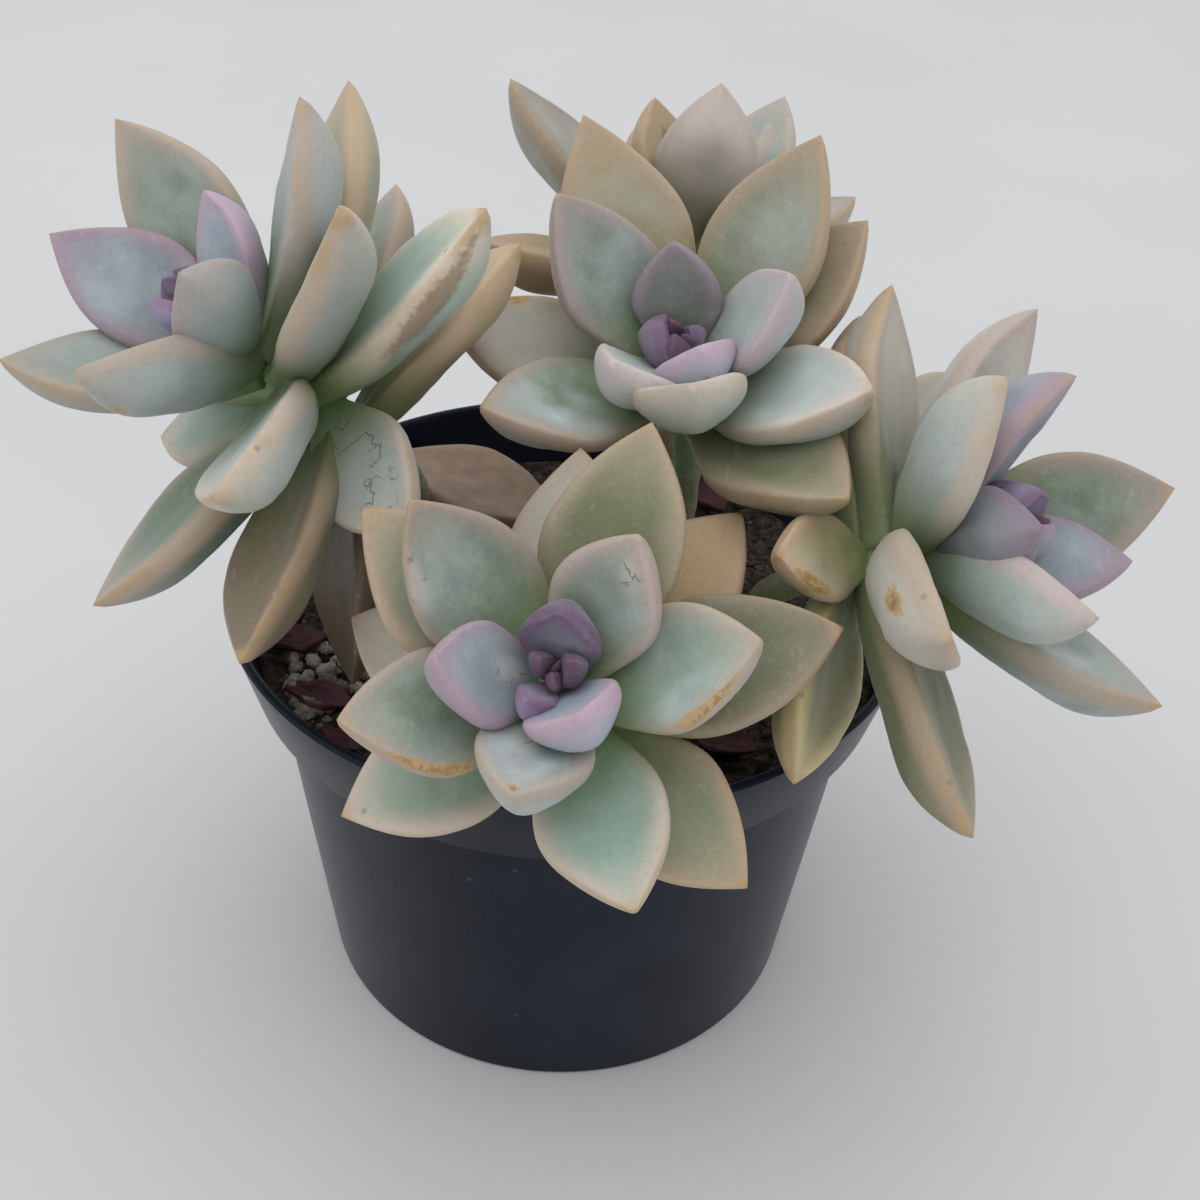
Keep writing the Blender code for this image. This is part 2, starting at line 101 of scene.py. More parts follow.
class Term:
    """A socket of a material's graph that takes part in Python sums."""

    def __init__(self, graph: Graph, socket: bpy.types.NodeSocket) -> None:
        """Wrap one output socket of a graph."""
        self.graph = graph
        self.socket = socket

    def __add__(self, other: Term | float) -> Term:
        """Sum of two values."""
        return self.graph.maths("ADD", self, other)

    def __mul__(self, other: Term | float) -> Term:
        """Product of two values."""
        return self.graph.maths("MULTIPLY", self, other)

    def __sub__(self, other: Term | float) -> Term:
        """Difference of two values."""
        return self.graph.maths("SUBTRACT", self, other)

    def __rsub__(self, other: float) -> Term:
        """A number less this value."""
        return self.graph.maths("SUBTRACT", other, self)

    __radd__ = __add__
    __rmul__ = __mul__

    def clamped(self) -> Term:
        """This value kept between 0 and 1."""
        return self.graph.maths("MINIMUM", self.graph.maths("MAXIMUM", self, 0.0), 1.0)

    def rise(self, low: float, high: float) -> Term:
        """Smooth step of this value, 0 at low and 1 at high."""
        ends = {"Value": self, "From Min": low, "From Max": high}
        return self.graph.node("ShaderNodeMapRange", {"interpolation_type": "SMOOTHSTEP"}, ends)


class Graph:
    """A material's node graph, built by calls.

    The MIX numbers are the places of a Mix node's colour sockets, because sockets of other
    kinds share their names.
    """

    MIX_SHARE, MIX_FIRST, MIX_SECOND = 0, 6, 7
    MIXED_COLOUR = 2

    def __init__(self, name: str, roughness: float, **constants: float) -> None:
        """Start a Principled material.

        Args:
            name: The material's name.
            roughness: Roughness all over it.
            constants: Values of other Principled inputs, with _ in place of a space.
        """
        self.material = bpy.data.materials.new(name)
        self.material.use_nodes = True
        self.tree = self.material.node_tree
        self.shader = self.tree.nodes["Principled BSDF"]
        self.shader.inputs["Roughness"].default_value = roughness
        for key, value in constants.items():
            self.shader.inputs[key.replace("_", " ")].default_value = value

    def node(self, kind: str, settings: dict, inputs: dict, output: int | str = 0) -> Term:
        """Add a node, set it up and link or fill its inputs.

        Args:
            kind: The node's type.
            settings: Properties to set first.
            inputs: Values or terms by input name or index.
            output: Which output to return.

        Returns:
            The output as a term.
        """
        made = self.tree.nodes.new(kind)
        for key, value in settings.items():
            setattr(made, key, value)
        for key, value in inputs.items():
            if isinstance(value, Term):
                self.tree.links.new(value.socket, made.inputs[key])
            else:
                made.inputs[key].default_value = value
        return Term(self, made.outputs[output])

    def maths(self, operation: str, *values: Term | float) -> Term:
        """Add a Math node."""
        return self.node("ShaderNodeMath", {"operation": operation}, dict(enumerate(values)))

    def mix(self, first: Term | Rgb, second: Term | Rgb, share: Term | float) -> Term:
        """Mix two colours.

        Args:
            first: Colour at share 0.
            second: Colour at share 1.
            share: How much of the second colour shows.

        Returns:
            The mixed colour.
        """
        ends = [c if isinstance(c, Term) else (*c, 1.0) for c in (first, second)]
        inputs = {self.MIX_SHARE: share, self.MIX_FIRST: ends[0], self.MIX_SECOND: ends[1]}
        return self.node("ShaderNodeMix", {"data_type": "RGBA"}, inputs, self.MIXED_COLOUR)

    def stored(self, name: str) -> Term:
        """A vector or colour that is stored on the mesh."""
        return self.node("ShaderNodeAttribute", {"attribute_name": name}, {}, "Vector")

    def parts(self, vector: Term) -> list[Term]:
        """The three parts of a vector."""
        return [self.node("ShaderNodeSeparateXYZ", {}, {0: vector}, i) for i in range(3)]

    def place(self, stretch: Point = (1.0, 1.0, 1.0)) -> Term:
        """Object coordinates, stretched."""
        point = self.node("ShaderNodeTexCoord", {}, {}, "Object")
        return self.node("ShaderNodeMapping", {}, {"Vector": point, "Scale": stretch})

    def clouds(self, scale: float, detail: float = 3.0, where: Term | None = None) -> Term:
        """Noise from 0 to 1, with features of 1/scale metres."""
        inputs = {"Vector": where or self.place(), "Scale": scale, "Detail": detail}
        return self.node("ShaderNodeTexNoise", {}, inputs)

    def cells(self, scale: float) -> Term:
        """Distance to the nearest of scattered points, in cells of 1/scale metres."""
        return self.node("ShaderNodeTexVoronoi", {}, {"Vector": self.place(), "Scale": scale})

    def finish(self, colour: Term, relief: Term, depth: float) -> bpy.types.Material:
        """Link the colour and the relief to the shader.

        Args:
            colour: Base colour.
            relief: Height from 0 to 1.
            depth: Height of the relief in metres.

        Returns:
            The finished material.
        """
        heights = {"Height": relief, "Distance": depth, "Strength": 1.0}
        bump = self.node("ShaderNodeBump", {}, heights)
        self.tree.links.new(colour.socket, self.shader.inputs["Base Color"])
        self.tree.links.new(bump.socket, self.shader.inputs["Normal"])
        return self.material


@dataclass(frozen=True)
class LeafReadings:
    """What a leaf's skin reads at a point: its place, its tones, its marks and the noises.

    `under` is 1 on the lower side. The noises are named for their features: `broad` ones of
    a centimetre, `blotch` ones of 4 mm, `fine` ones under a millimetre and `grain` finer yet.
    """

    along: Term
    edge: Term
    upper: Term
    under: Term
    frost: Term
    green: Term
    tan: Term
    scab: Term
    burn: Term
    crack: Term
    broad: Term
    blotch: Term
    fine: Term
    grain: Term


@dataclass(frozen=True)
class LeafSkin:
    """Waxy, farina-coated skin of a leaf, with painted highlight in its pale patches; its tones
    follow what is stored on the leaf.

    A field that ends in _share is how much of a colour shows where it is strongest, and one
    that ends in _scale is a noise's features per metre.
    """

    name: str = "succulent_leaf"
    hub: Rgb = (0.165, 0.272, 0.075)
    # Pale blue-white of the farina, which also serves as a painted highlight.
    bloom_and_highlight: Rgb = (0.560, 0.640, 0.655)
    dust: Rgb = (0.640, 0.610, 0.520)
    deep: Rgb = (0.130, 0.160, 0.100)
    pale: Rgb = (0.740, 0.700, 0.640)
    amber: Rgb = (0.545, 0.400, 0.255)
    tip: Rgb = (0.480, 0.320, 0.165)
    ochre: Rgb = (0.500, 0.290, 0.070)
    burnt: Rgb = (0.200, 0.100, 0.050)
    dot: Rgb = (0.200, 0.170, 0.080)
    moss: Rgb = (0.110, 0.115, 0.045)
    mottle_share: float = 0.28
    bloom_and_highlight_share: float = 1.30
    dust_share: float = 0.10
    deep_share: float = 0.18
    dry_share: float = 0.75
    crust_share: float = 0.85
    heat_share: float = 0.45
    char_share: float = 0.60
    dot_share: float = 0.45
    scrape_share: float = 0.08
    chalk_share: float = 0.30
    moss_share: float = 0.50
    broad_scale: float = 95.0
    blotch_scale: float = 260.0
    fine_scale: float = 1500.0
    grain_scale: float = 5200.0
    dot_scale: float = 115.0
    scrape_scale: float = 800.0
    crack_scale: float = 200.0
    crack_sharpness: float = 5200.0
    relief: float = 0.00012
    roughness: float = 0.48

    def material(self) -> bpy.types.Material:
        """Build the skin's material.

        Returns:
            The material.
        """
        graph = Graph(
            self.name, self.roughness, Sheen_Weight=0.10, Sheen_Roughness=0.5,
            Specular_IOR_Level=0.45,
        )
        read = self.readings(graph)
        body = self.dried(graph, read, self.flesh(graph, read))
        body, patch = self.scarred(graph, read, body)
        body, split = self.scratched(graph, read, body)
        height = read.grain * 0.15 + read.fine * 0.30 + read.blotch * 0.60
        height = height - patch * read.scab * 0.6 - split * 1.2
        return graph.finish(body, height, self.relief)

    def readings(self, graph: Graph) -> LeafReadings:
        """Read what is stored on the leaf, and draw the noises.

        Args:
            graph: The material's graph.

        Returns:
            All the readings.
        """
        along, edge, upper = graph.parts(graph.stored("leaf_place"))
        frost, green, tan = graph.parts(graph.stored("leaf_tone"))
        scab, burn, crack = graph.parts(graph.stored("leaf_marks"))
        return LeafReadings(
            along=along, edge=edge, upper=upper, under=1.0 - upper.rise(-0.7, 0.1),
            frost=frost, green=green, tan=tan, scab=scab, burn=burn, crack=crack,
            broad=graph.clouds(self.broad_scale, 2.0), blotch=graph.clouds(self.blotch_scale),
            fine=graph.clouds(self.fine_scale, 4.0), grain=graph.clouds(self.grain_scale, 2.0),
        )

    def flesh(self, graph: Graph, read: LeafReadings) -> Term:
        """Lay the sound skin: rim, heart, green base, farina patches with painted highlight, and
        freckles.

        Args:
            graph: The material's graph.
            read: The leaf's readings.

        Returns:
            The skin's colour.
        """
        broad, blotch, fine = read.broad, read.blotch, read.fine
        inner = read.edge * (read.under * 1.6 + 1.0)
        inner = inner + (broad - 0.5) * 0.34 + (blotch - 0.5) * 0.12
        reach = read.along + (broad - 0.5) * 0.16 + (blotch - 0.5) * 0.10
        core = inner.rise(0.0, 0.50) * (1.0 - reach.rise(0.66, 1.02) * 0.85)
        body = graph.mix(graph.stored("leaf_rim"), graph.stored("leaf_heart"), core)
        body = graph.mix(body, self.hub, (1.0 - reach.rise(0.13, 0.60)) * read.green)
        mottle = (blotch * 0.7 + fine * 0.3).rise(0.44, 0.62)
        body = graph.mix(body, self.hub, mottle * core * read.green * self.mottle_share)
        # Pale blue-white patches towards the tip: the farina's own colour, with painted highlight.
        bloom_highlight_mask = broad.rise(0.36, 0.62) * 0.75 + blotch.rise(0.40, 0.66) * 0.25
        bloom_highlight_mask = bloom_highlight_mask * read.frost * core * read.along.rise(0.25, 0.70)
        body = graph.mix(body, self.bloom_and_highlight, bloom_highlight_mask * self.bloom_and_highlight_share)
        body = graph.mix(body, self.dust, fine.rise(0.50, 0.78) * self.dust_share)
        return graph.mix(body, self.deep, (1.0 - fine.rise(0.22, 0.52)) * self.deep_share)

    def dried(self, graph: Graph, read: LeafReadings, body: Term) -> Term:
        """Add the amber margins, their dry stretches and the dry tip.

        Args:
            graph: The material's graph.
            read: The leaf's readings.
            body: Colour so far.

        Returns:
            The colour with its margins.
        """
        near = (1.0 - read.edge.rise(0.0, 0.15)) * read.along.rise(0.15, 0.55)
        body = graph.mix(body, self.amber, near * read.tan * (read.broad * 0.6 + 0.1))
        dry = (1.0 - read.edge.rise(0.02, 0.16)) * read.along.rise(0.35, 0.80)
        dry = dry * (1.0 - read.under * 0.4) * 0.60 + read.blotch * 0.60 + read.fine * 0.22
        body = graph.mix(body, self.tip, dry.rise(0.86, 1.10) * read.tan * self.dry_share)
        point = (read.along + (read.blotch - 0.5) * 0.06).rise(0.925, 0.985)
        return graph.mix(body, self.tip, point * read.tan)

    def scarred(self, graph: Graph, read: LeafReadings, body: Term) -> tuple[Term, Term]:
        """Add the ochre scabs, the scorched spots and the small dark dots.

        Args:
            graph: The material's graph.
            read: The leaf's readings.
            body: Colour so far.

        Returns:
            The colour with its scars, and where the crusts are.
        """
        blotch, fine = read.blotch, read.fine
        patch = (read.scab + (fine - 0.5) * 0.9 + (blotch - 0.5) * 0.7).rise(0.38, 0.66)
        crust = graph.mix(self.ochre, self.tip, fine.rise(0.40, 0.60))
        body = graph.mix(body, crust, patch * read.scab.rise(0.03, 0.25) * self.crust_share)
        heated = (patch * read.scab).rise(0.45, 0.75) * (1.0 - fine.rise(0.40, 0.55))
        body = graph.mix(body, self.burnt, heated * self.heat_share)
        char = (read.burn + (fine - 0.5) * 0.6 + (blotch - 0.5) * 0.5).rise(0.36, 0.76)
        body = graph.mix(body, self.burnt, char * read.burn.rise(0.03, 0.25) * self.char_share)
        dots = (1.0 - graph.cells(self.dot_scale).rise(0.035, 0.06)) * read.along.rise(0.1, 0.3)
        return graph.mix(body, self.dot, dots * self.dot_share), patch

    def scratched(self, graph: Graph, read: LeafReadings, body: Term) -> tuple[Term, Term]:
        """Add the rubbed streaks, the chalky patches and the thin mossy cracks in them.

        Args:
            graph: The material's graph.
            read: The leaf's readings.
            body: Colour so far.

        Returns:
            The finished colour, and where the cracks are.
        """
        streaks = graph.clouds(self.scrape_scale, 2.0, graph.place((1.0, 0.12, 1.0)))
        scrape = streaks.rise(0.64, 0.72) * read.upper.rise(-1.0, 0.2)
        body = graph.mix(body, self.pale, scrape * self.scrape_share)
        body = graph.mix(body, self.pale, read.crack.rise(0.1, 0.9) * self.chalk_share)
        away = graph.clouds(self.crack_scale, 4.0) - 0.5
        split = (1.0 - away * away * self.crack_sharpness).clamped()
        split = split * read.crack.rise(0.20, 0.60) * read.blotch.rise(0.40, 0.54)
        return graph.mix(body, self.moss, split * self.moss_share), split


@dataclass(frozen=True)
class StemSkin:
    """Stem: fresh green under the leaves, brown and corky near the soil."""

    name: str = "stem_skin"
    green: Rgb = (0.270, 0.360, 0.190)
    cork: Rgb = (0.260, 0.200, 0.130)
    scar: Rgb = (0.420, 0.420, 0.300)
    blotch_scale: float = 500.0
    fibre_scale: float = 2600.0
    relief: float = 0.0003
    roughness: float = 0.6

    def material(self) -> bpy.types.Material:
        """Build the stem's material.

        Returns:
            The material.
        """
        graph = Graph(self.name, self.roughness)
        along = graph.parts(graph.stored("leaf_place"))[0]
        blotch = graph.clouds(self.blotch_scale)
        fibre = graph.clouds(self.fibre_scale, 4.0, graph.place((1.0, 1.0, 0.4)))
        tone = graph.mix(self.cork, self.green, (along + (blotch - 0.5) * 0.3).rise(0.40, 0.62))
        tone = graph.mix(tone, self.scar, fibre.rise(0.50, 0.75) * 0.5)
        return graph.finish(tone, fibre, self.relief)


@dataclass(frozen=True)
class PotPlastic:
    """Thin black moulded plastic with a satin face, dust and fine scuffs."""

    name: str = "pot_plastic"
    black: Rgb = (0.0038, 0.0068, 0.0165)
    worn: Rgb = (0.0085, 0.0125, 0.0235)
    dust: Rgb = (0.160, 0.155, 0.150)
    speck_share: float = 0.25
    scuff_share: float = 0.03
    blotch_scale: float = 60.0
    speck_scale: float = 120.0
    scuff_scale: float = 420.0
    grain_scale: float = 2400.0
    relief: float = 0.00004
    roughness: float = 0.34

    def material(self) -> bpy.types.Material:
        """Build the plastic's material.

        Returns:
            The material.
        """
        graph = Graph(
            self.name, self.roughness, Specular_IOR_Level=0.15, Sheen_Weight=0.10,
            Sheen_Roughness=0.24,
        )
        scuff = graph.clouds(self.scuff_scale, 3.0, graph.place((1.0, 1.0, 0.15)))
        specks = 1.0 - graph.cells(self.speck_scale).rise(0.03, 0.055)
        tone = graph.mix(self.black, self.worn, graph.clouds(self.blotch_scale).rise(0.35, 0.70))
        dusty = specks * self.speck_share + scuff.rise(0.62, 0.74) * self.scuff_share
        tone = graph.mix(tone, self.dust, dusty)
        return graph.finish(tone, graph.clouds(self.grain_scale), self.relief)


@dataclass(frozen=True)
class CrumbEarth:
    """Dark potting soil: peat crumbs, fibres and pale specks."""

    name: str = "potting_soil"
    dark: Rgb = (0.022, 0.017, 0.016)
    brown: Rgb = (0.100, 0.075, 0.062)
    speck: Rgb = (0.360, 0.310, 0.260)
    speck_share: float = 0.6
    crumb_scale: float = 700.0
    lump_scale: float = 420.0
    speck_scale: float = 1900.0
    relief: float = 0.0012
    roughness: float = 0.95

    def material(self) -> bpy.types.Material:
        """Build the soil's material.

        Returns:
            The material.
        """
        graph = Graph(self.name, self.roughness, Specular_IOR_Level=0.2)
        crumb = graph.clouds(self.crumb_scale, 6.0)
        specks = graph.clouds(self.speck_scale, 2.0).rise(0.66, 0.74)
        tone = graph.mix(self.dark, self.brown, crumb.rise(0.35, 0.72))
        tone = graph.mix(tone, self.speck, specks * self.speck_share)
        height = crumb * 0.7 + graph.cells(self.lump_scale) * 0.4
        return graph.finish(tone, height, self.relief)


@dataclass(frozen=True)
class Mineral:
    """Rough grains: pumice, bark or grit."""

    name: str
    light: Rgb
    dark: Rgb
    blotch_scale: float = 330.0
    pore_scale: float = 2100.0
    relief: float = 0.0005
    roughness: float = 0.9

    def material(self) -> bpy.types.Material:
        """Build the grains' material.

        Returns:
            The material.
        """
        graph = Graph(self.name, self.roughness, Specular_IOR_Level=0.25)
        blotch = graph.clouds(self.blotch_scale, 4.0)
        pores = graph.cells(self.pore_scale)
        tone = graph.mix(self.dark, self.light, blotch.rise(0.35, 0.65))
        tone = graph.mix(self.dark, tone, pores.rise(0.10, 0.35))
        return graph.finish(tone, pores * 0.6 + blotch * 0.5, self.relief)


@dataclass(frozen=True)
class WitheredSkin:
    """Skin of a fallen or dried leaf, wrinkled along its length, with painted highlight along its
    upper margins.

    `wrinkle` is the relief's height in metres, and `folded` how far the wrinkles run along
    the leaf, from 0 to 1.
    """

    name: str
    light: Rgb
    dark: Rgb
    wrinkle: float
    folded: float
    blotch_scale: float = 300.0
    folds_along: float = 3.0
    folds_across: float = 26.0
    roughness: float = 0.62

    def material(self) -> bpy.types.Material:
        """Build the withered skin's material.

        Returns:
            The material.
        """
        graph = Graph(self.name, self.roughness, Specular_IOR_Level=0.3)
        along, edge, upper = graph.parts(graph.stored("leaf_place"))
        blotch = graph.clouds(self.blotch_scale, 4.0)
        pleats = {0: along * self.folds_along, 1: edge * self.folds_across}
        fold = graph.clouds(1.0, 3.0, graph.node("ShaderNodeCombineXYZ", {}, pleats))
        veined = blotch * (1.0 - self.folded) + fold * self.folded
        tone = graph.mix(self.dark, self.light, veined.rise(0.30, 0.68))
        # Painted highlight: lighter along the margins, most on the upper side.
        rim = (1.0 - edge.rise(0.0, 0.4)) * upper.rise(-1.0, 1.0)
        tone = graph.mix(tone, self.light, rim * 0.5)
        return graph.finish(tone, fold * self.folded + blotch * 0.4, self.wrinkle)


@dataclass(frozen=True)
class FloorPaper:
    """Pale matte table top, faintly mottled."""

    name: str = "pale_floor"
    light: Rgb = (0.68, 0.68, 0.685)
    shade: Rgb = (0.65, 0.65, 0.66)
    mottle_scale: float = 9.0
    grain_scale: float = 900.0
    relief: float = 0.00003
    roughness: float = 0.85

    def material(self) -> bpy.types.Material:
        """Build the floor's material.

        Returns:
            The material.
        """
        graph = Graph(self.name, self.roughness)
        tone = graph.mix(self.shade, self.light, graph.clouds(self.mottle_scale).rise(0.3, 0.7))
        return graph.finish(tone, graph.clouds(self.grain_scale, 2.0), self.relief)


class Workbench:
    """Steps of modelling that several pieces share."""

    @staticmethod
    def pick(piece: bpy.types.Object | None = None) -> None:
        """Select one piece alone, or nothing, because operators act on all that is selected.

        Args:
            piece: The piece to work on.
        """
        bpy.ops.object.select_all(action="DESELECT")
        if piece is not None:
            piece.select_set(True)
            bpy.context.view_layer.objects.active = piece

    @staticmethod
    def named(name: str) -> bpy.types.Object:
        """Name the object that an operator has just added.

        Args:
            name: Name of the piece and its mesh.

        Returns:
            The object.
        """
        piece = bpy.context.object
        piece.name = piece.data.name = name
        return piece

    @staticmethod
    def ball(name: str, segments: int, rings: int) -> bpy.types.Object:
        """Add a unit sphere that is to be reshaped.

        Args:
            name: Name of the piece.
            segments: Faces round it.
            rings: Faces from pole to pole.

        Returns:
            The sphere.
        """
        Workbench.pick()
        bpy.ops.mesh.primitive_uv_sphere_add(segments=segments, ring_count=rings, radius=1.0)
        bpy.ops.object.shade_smooth()
        return Workbench.named(name)

    @staticmethod
    def twin(piece: bpy.types.Object, name: str) -> bpy.types.Object:
        """Copy a piece with a mesh of its own.

        Args:
            piece: The piece to copy.
            name: Name of the copy.

        Returns:
            The copy.
        """
        copy = piece.copy()
        copy.data = piece.data.copy()
        copy.name = copy.data.name = name
        bpy.context.scene.collection.objects.link(copy)
        return copy

    @staticmethod
    def points(piece: bpy.types.Object) -> np.ndarray:
        """Read a piece's vertices.

        Args:
            piece: The piece.

        Returns:
            One row of x, y and z per vertex.
        """
        flat = np.empty(len(piece.data.vertices) * 3, np.float32)
        piece.data.vertices.foreach_get("co", flat)
        return flat.reshape(-1, 3).astype(float)

    @staticmethod
    def polar(piece: bpy.types.Object) -> tuple[np.ndarray, np.ndarray]:
        """Find where each of a sphere's vertices stands on it.

        Args:
            piece: A unit sphere.

        Returns:
            Shares of the way up the sphere, and angles round it.
        """
        points = Workbench.points(piece)
        share = np.arccos(np.clip(-points[:, 2], -1.0, 1.0)) / math.pi
        return share, np.arctan2(points[:, 1], points[:, 0])

    @staticmethod
    def move_points(piece: bpy.types.Object, points: np.ndarray) -> None:
        """Move a piece's vertices and turn its faces outwards.

        Args:
            piece: The piece.
            points: One row of x, y and z per vertex.
        """
        piece.data.vertices.foreach_set("co", points.astype(np.float32).ravel())
        piece.data.update()
        Workbench.face_out(piece)

    @staticmethod
    def store(piece: bpy.types.Object, name: str, values: np.ndarray) -> None:
        """Keep a vector per vertex on the mesh for its material to read."""
        layer = piece.data.attributes.new(name, "FLOAT_VECTOR", "POINT")
        layer.data.foreach_set("vector", values.astype(np.float32).ravel())

    @staticmethod
    def face_out(piece: bpy.types.Object) -> None:
        """Turn the faces outwards in edit mode.

        Args:
            piece: The piece, which is closed.
        """
        Workbench.pick(piece)
        bpy.ops.object.mode_set(mode="EDIT")
        bpy.ops.mesh.select_all(action="SELECT")
        bpy.ops.mesh.normals_make_consistent(inside=False)
        bpy.ops.object.mode_set(mode="OBJECT")

    @staticmethod
    def seat(piece: bpy.types.Object, material: bpy.types.Material, slot: str, node: str) -> None:
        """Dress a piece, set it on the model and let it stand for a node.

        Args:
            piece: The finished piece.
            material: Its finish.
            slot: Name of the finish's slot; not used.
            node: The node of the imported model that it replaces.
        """
        piece.data.materials.clear()
        piece.data.materials.append(material)
        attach(piece, "root")
        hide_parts(node)
        LOG.info("%s: %d faces for %s", piece.name, len(piece.data.polygons), node)

    @staticmethod
    def lathe(name: str, profile: list[Pair], sides: int) -> bpy.types.Object:
        """Draw a round closed body out of a disc, ring by ring.

        Args:
            name: Name of the piece.
            profile: (radius, height) of each ring, from the base round to the last ring.
            sides: Faces round it.

        Returns:
            The body.
        """
        Workbench.pick()
        radius, height = profile[0]
        bpy.ops.mesh.primitive_circle_add(
            vertices=sides, radius=radius, fill_type="NGON", location=(0.0, 0.0, height),
        )
        piece = Workbench.named(name)
        bpy.ops.object.transform_apply(location=True)
        bpy.ops.object.mode_set(mode="EDIT")
        bpy.ops.mesh.select_all(action="SELECT")
        for wide, high in profile[1:]:
            bpy.ops.mesh.extrude_region_move(
                TRANSFORM_OT_translate={"value": (0.0, 0.0, high - height)},
            )
            bpy.ops.transform.resize(
                value=(wide / radius, wide / radius, 1.0), center_override=(0.0, 0.0, high),
            )
            radius, height = wide, high
        bpy.ops.object.mode_set(mode="OBJECT")
        Workbench.face_out(piece)
        return piece


@dataclass(frozen=True)
class PotSizes:
    """Sizes of the pot in metres.

    `edge` rounds the foot and the step under the band. The step's rings are given in edges:
    outwards from the body's top or the band's foot, and up from the band's foot. `sink` is
    how far in and down the body's last ring lies. Inside, the body's top stands in by
    `top_inset` walls, and the floor's corner out by `corner_ease` edges. `crease` is in
    degrees.
    """

    rim_radius: float = 0.0500
    height: float = 0.0680
    band_height: float = 0.0120
    band_foot_radius: float = 0.0470
    body_top_radius: float = 0.0437
    base_radius: float = 0.0375
    wall: float = 0.0013
    lip_radius: float = 0.000806
    floor: float = 0.0022
    edge: float = 0.0009
    sink: Pair = (0.40, 1.40)
    step_by_body: tuple[Pair, ...] = ((0.15, -0.75), (0.60, -0.35))
    step_by_band: tuple[Pair, ...] = ((-0.90, -0.15), (-0.30, 0.0), (0.0, 0.40))
    top_inset: float = 0.90
    corner_ease: float = 0.40
    holes: int = 5
    hole_radius: float = 0.0040
    hole_ring: float = 0.0260
    hole_sides: int = 32
    foot_rings: int = 4
    lip_rings: int = 8
    sides: int = 144
    crease: float = 38.0


class Pot:
    """Squat nursery pot: tapered body, wider band with a rounded rim, drain holes."""

    def __init__(self, sizes: PotSizes = PotSizes()) -> None:
        """Keep the sizes."""
        self.sizes = sizes

    def profile(self) -> list[Pair]:
        """Draw the pot's section.

        Returns:
            Rings from the base up the outside, over the rim and down to the inner floor.
        """
        s = self.sizes
        foot = s.height - s.band_height
        slope = (s.body_top_radius - s.base_radius) / (foot - 2 * s.edge)
        rings = [(s.base_radius - s.edge, 0.0)]
        rings += self.round_corner(
            (s.base_radius - s.edge, s.edge), s.edge, (-90, 0), s.foot_rings,
        )
        inwards, down = s.sink
        rings.append((s.body_top_radius - inwards * s.edge * slope, foot - down * s.edge))
        for start, step in (
            (s.body_top_radius, s.step_by_body), (s.band_foot_radius, s.step_by_band),
        ):
            rings += [(start + out * s.edge, foot + up * s.edge) for out, up in step]
        middle = (s.rim_radius - s.lip_radius, s.height - s.lip_radius)
        rings += self.round_corner(middle, s.lip_radius, (0, 180), s.lip_rings)
        return rings + [
            (s.band_foot_radius - s.wall, foot + s.wall / 2),
            (s.body_top_radius - s.wall * s.top_inset, foot - s.edge - s.wall),
            (s.base_radius - s.wall + s.edge * s.corner_ease, s.floor + s.edge),
            (s.base_radius - s.wall - s.edge, s.floor),
        ]

    @staticmethod
    def round_corner(middle: Pair, radius: float, turn: Pair, steps: int) -> list[Pair]:
        """Draw a rounded corner of the section.

        Args:
            middle: Its centre.
            radius: Its radius.
            turn: Its first and last angle in degrees.
            steps: How many rings it has.

        Returns:
            The rings, without the one at the first angle.
        """
        (out, up), (start, stop) = middle, turn
        angles = [math.radians(start + (stop - start) * i / steps) for i in range(1, steps + 1)]
        return [(out + radius * math.cos(a), up + radius * math.sin(a)) for a in angles]

    def build(self, material: bpy.types.Material) -> None:
        """Model the pot and cut its drain holes.

        Args:
            material: Finish of the pot.
        """
        s = self.sizes
        pot = Workbench.lathe("nursery_pot", self.profile(), s.sides)
        for index in range(s.holes):
            angle = math.tau * index / s.holes
            Workbench.pick()
            bpy.ops.mesh.primitive_cylinder_add(
                vertices=s.hole_sides, radius=s.hole_radius, depth=4 * s.floor,
                location=(s.hole_ring * math.cos(angle), s.hole_ring * math.sin(angle), 0.0),
            )
            drill = bpy.context.object
            Workbench.pick(pot)
            hole = pot.modifiers.new("drain", "BOOLEAN")
            hole.operation, hole.solver, hole.object = "DIFFERENCE", "EXACT", drill
            bpy.ops.object.modifier_apply(modifier=hole.name)
            bpy.data.objects.remove(drill, do_unlink=True)
        Workbench.pick(pot)
        bpy.ops.object.shade_smooth_by_angle(angle=math.radians(s.crease))
        Workbench.seat(pot, material, "pot_plastic", "pot")


@dataclass(frozen=True)
class SoilSizes:
    """Sizes of the soil in metres, and of the sphere that it is shaped from.

    `stops` are the shares of the way up the sphere at which the rings of its side stand; the
    rest of the sphere is the top. `relief` is the height of the lumps, which lie flat within
    `fade` of the edge, and `crumb` that of the crumbs, of which `edge_crumb` is left there.
    `crumb_noise` is their noise's dimension, lacunarity and octaves, and `crumb_slice` the
    height at which it is cut.
    """

    level: float = 0.0580
    relief: float = 0.0008
    fade: float = 0.006
    crumb: float = 0.0007
    crumbs_per_metre: float = 420.0
    crumb_noise: tuple[float, float, int] = (0.9, 2.1, 4)
    crumb_slice: float = 0.3
    edge_crumb: float = 0.4
    edge_radius: float = 0.0459
    stops: tuple[float, ...] = (0.0, 0.06, 0.14, 0.18, 0.20)
    rings_out: tuple[float, ...] = (0.0, 0.0358, 0.0418, 0.0456, 0.0459)
    rings_up: tuple[float, ...] = (0.0026, 0.0026, 0.0530, 0.0568, 0.0578)
    segments: int = 200
    rings: int = 150


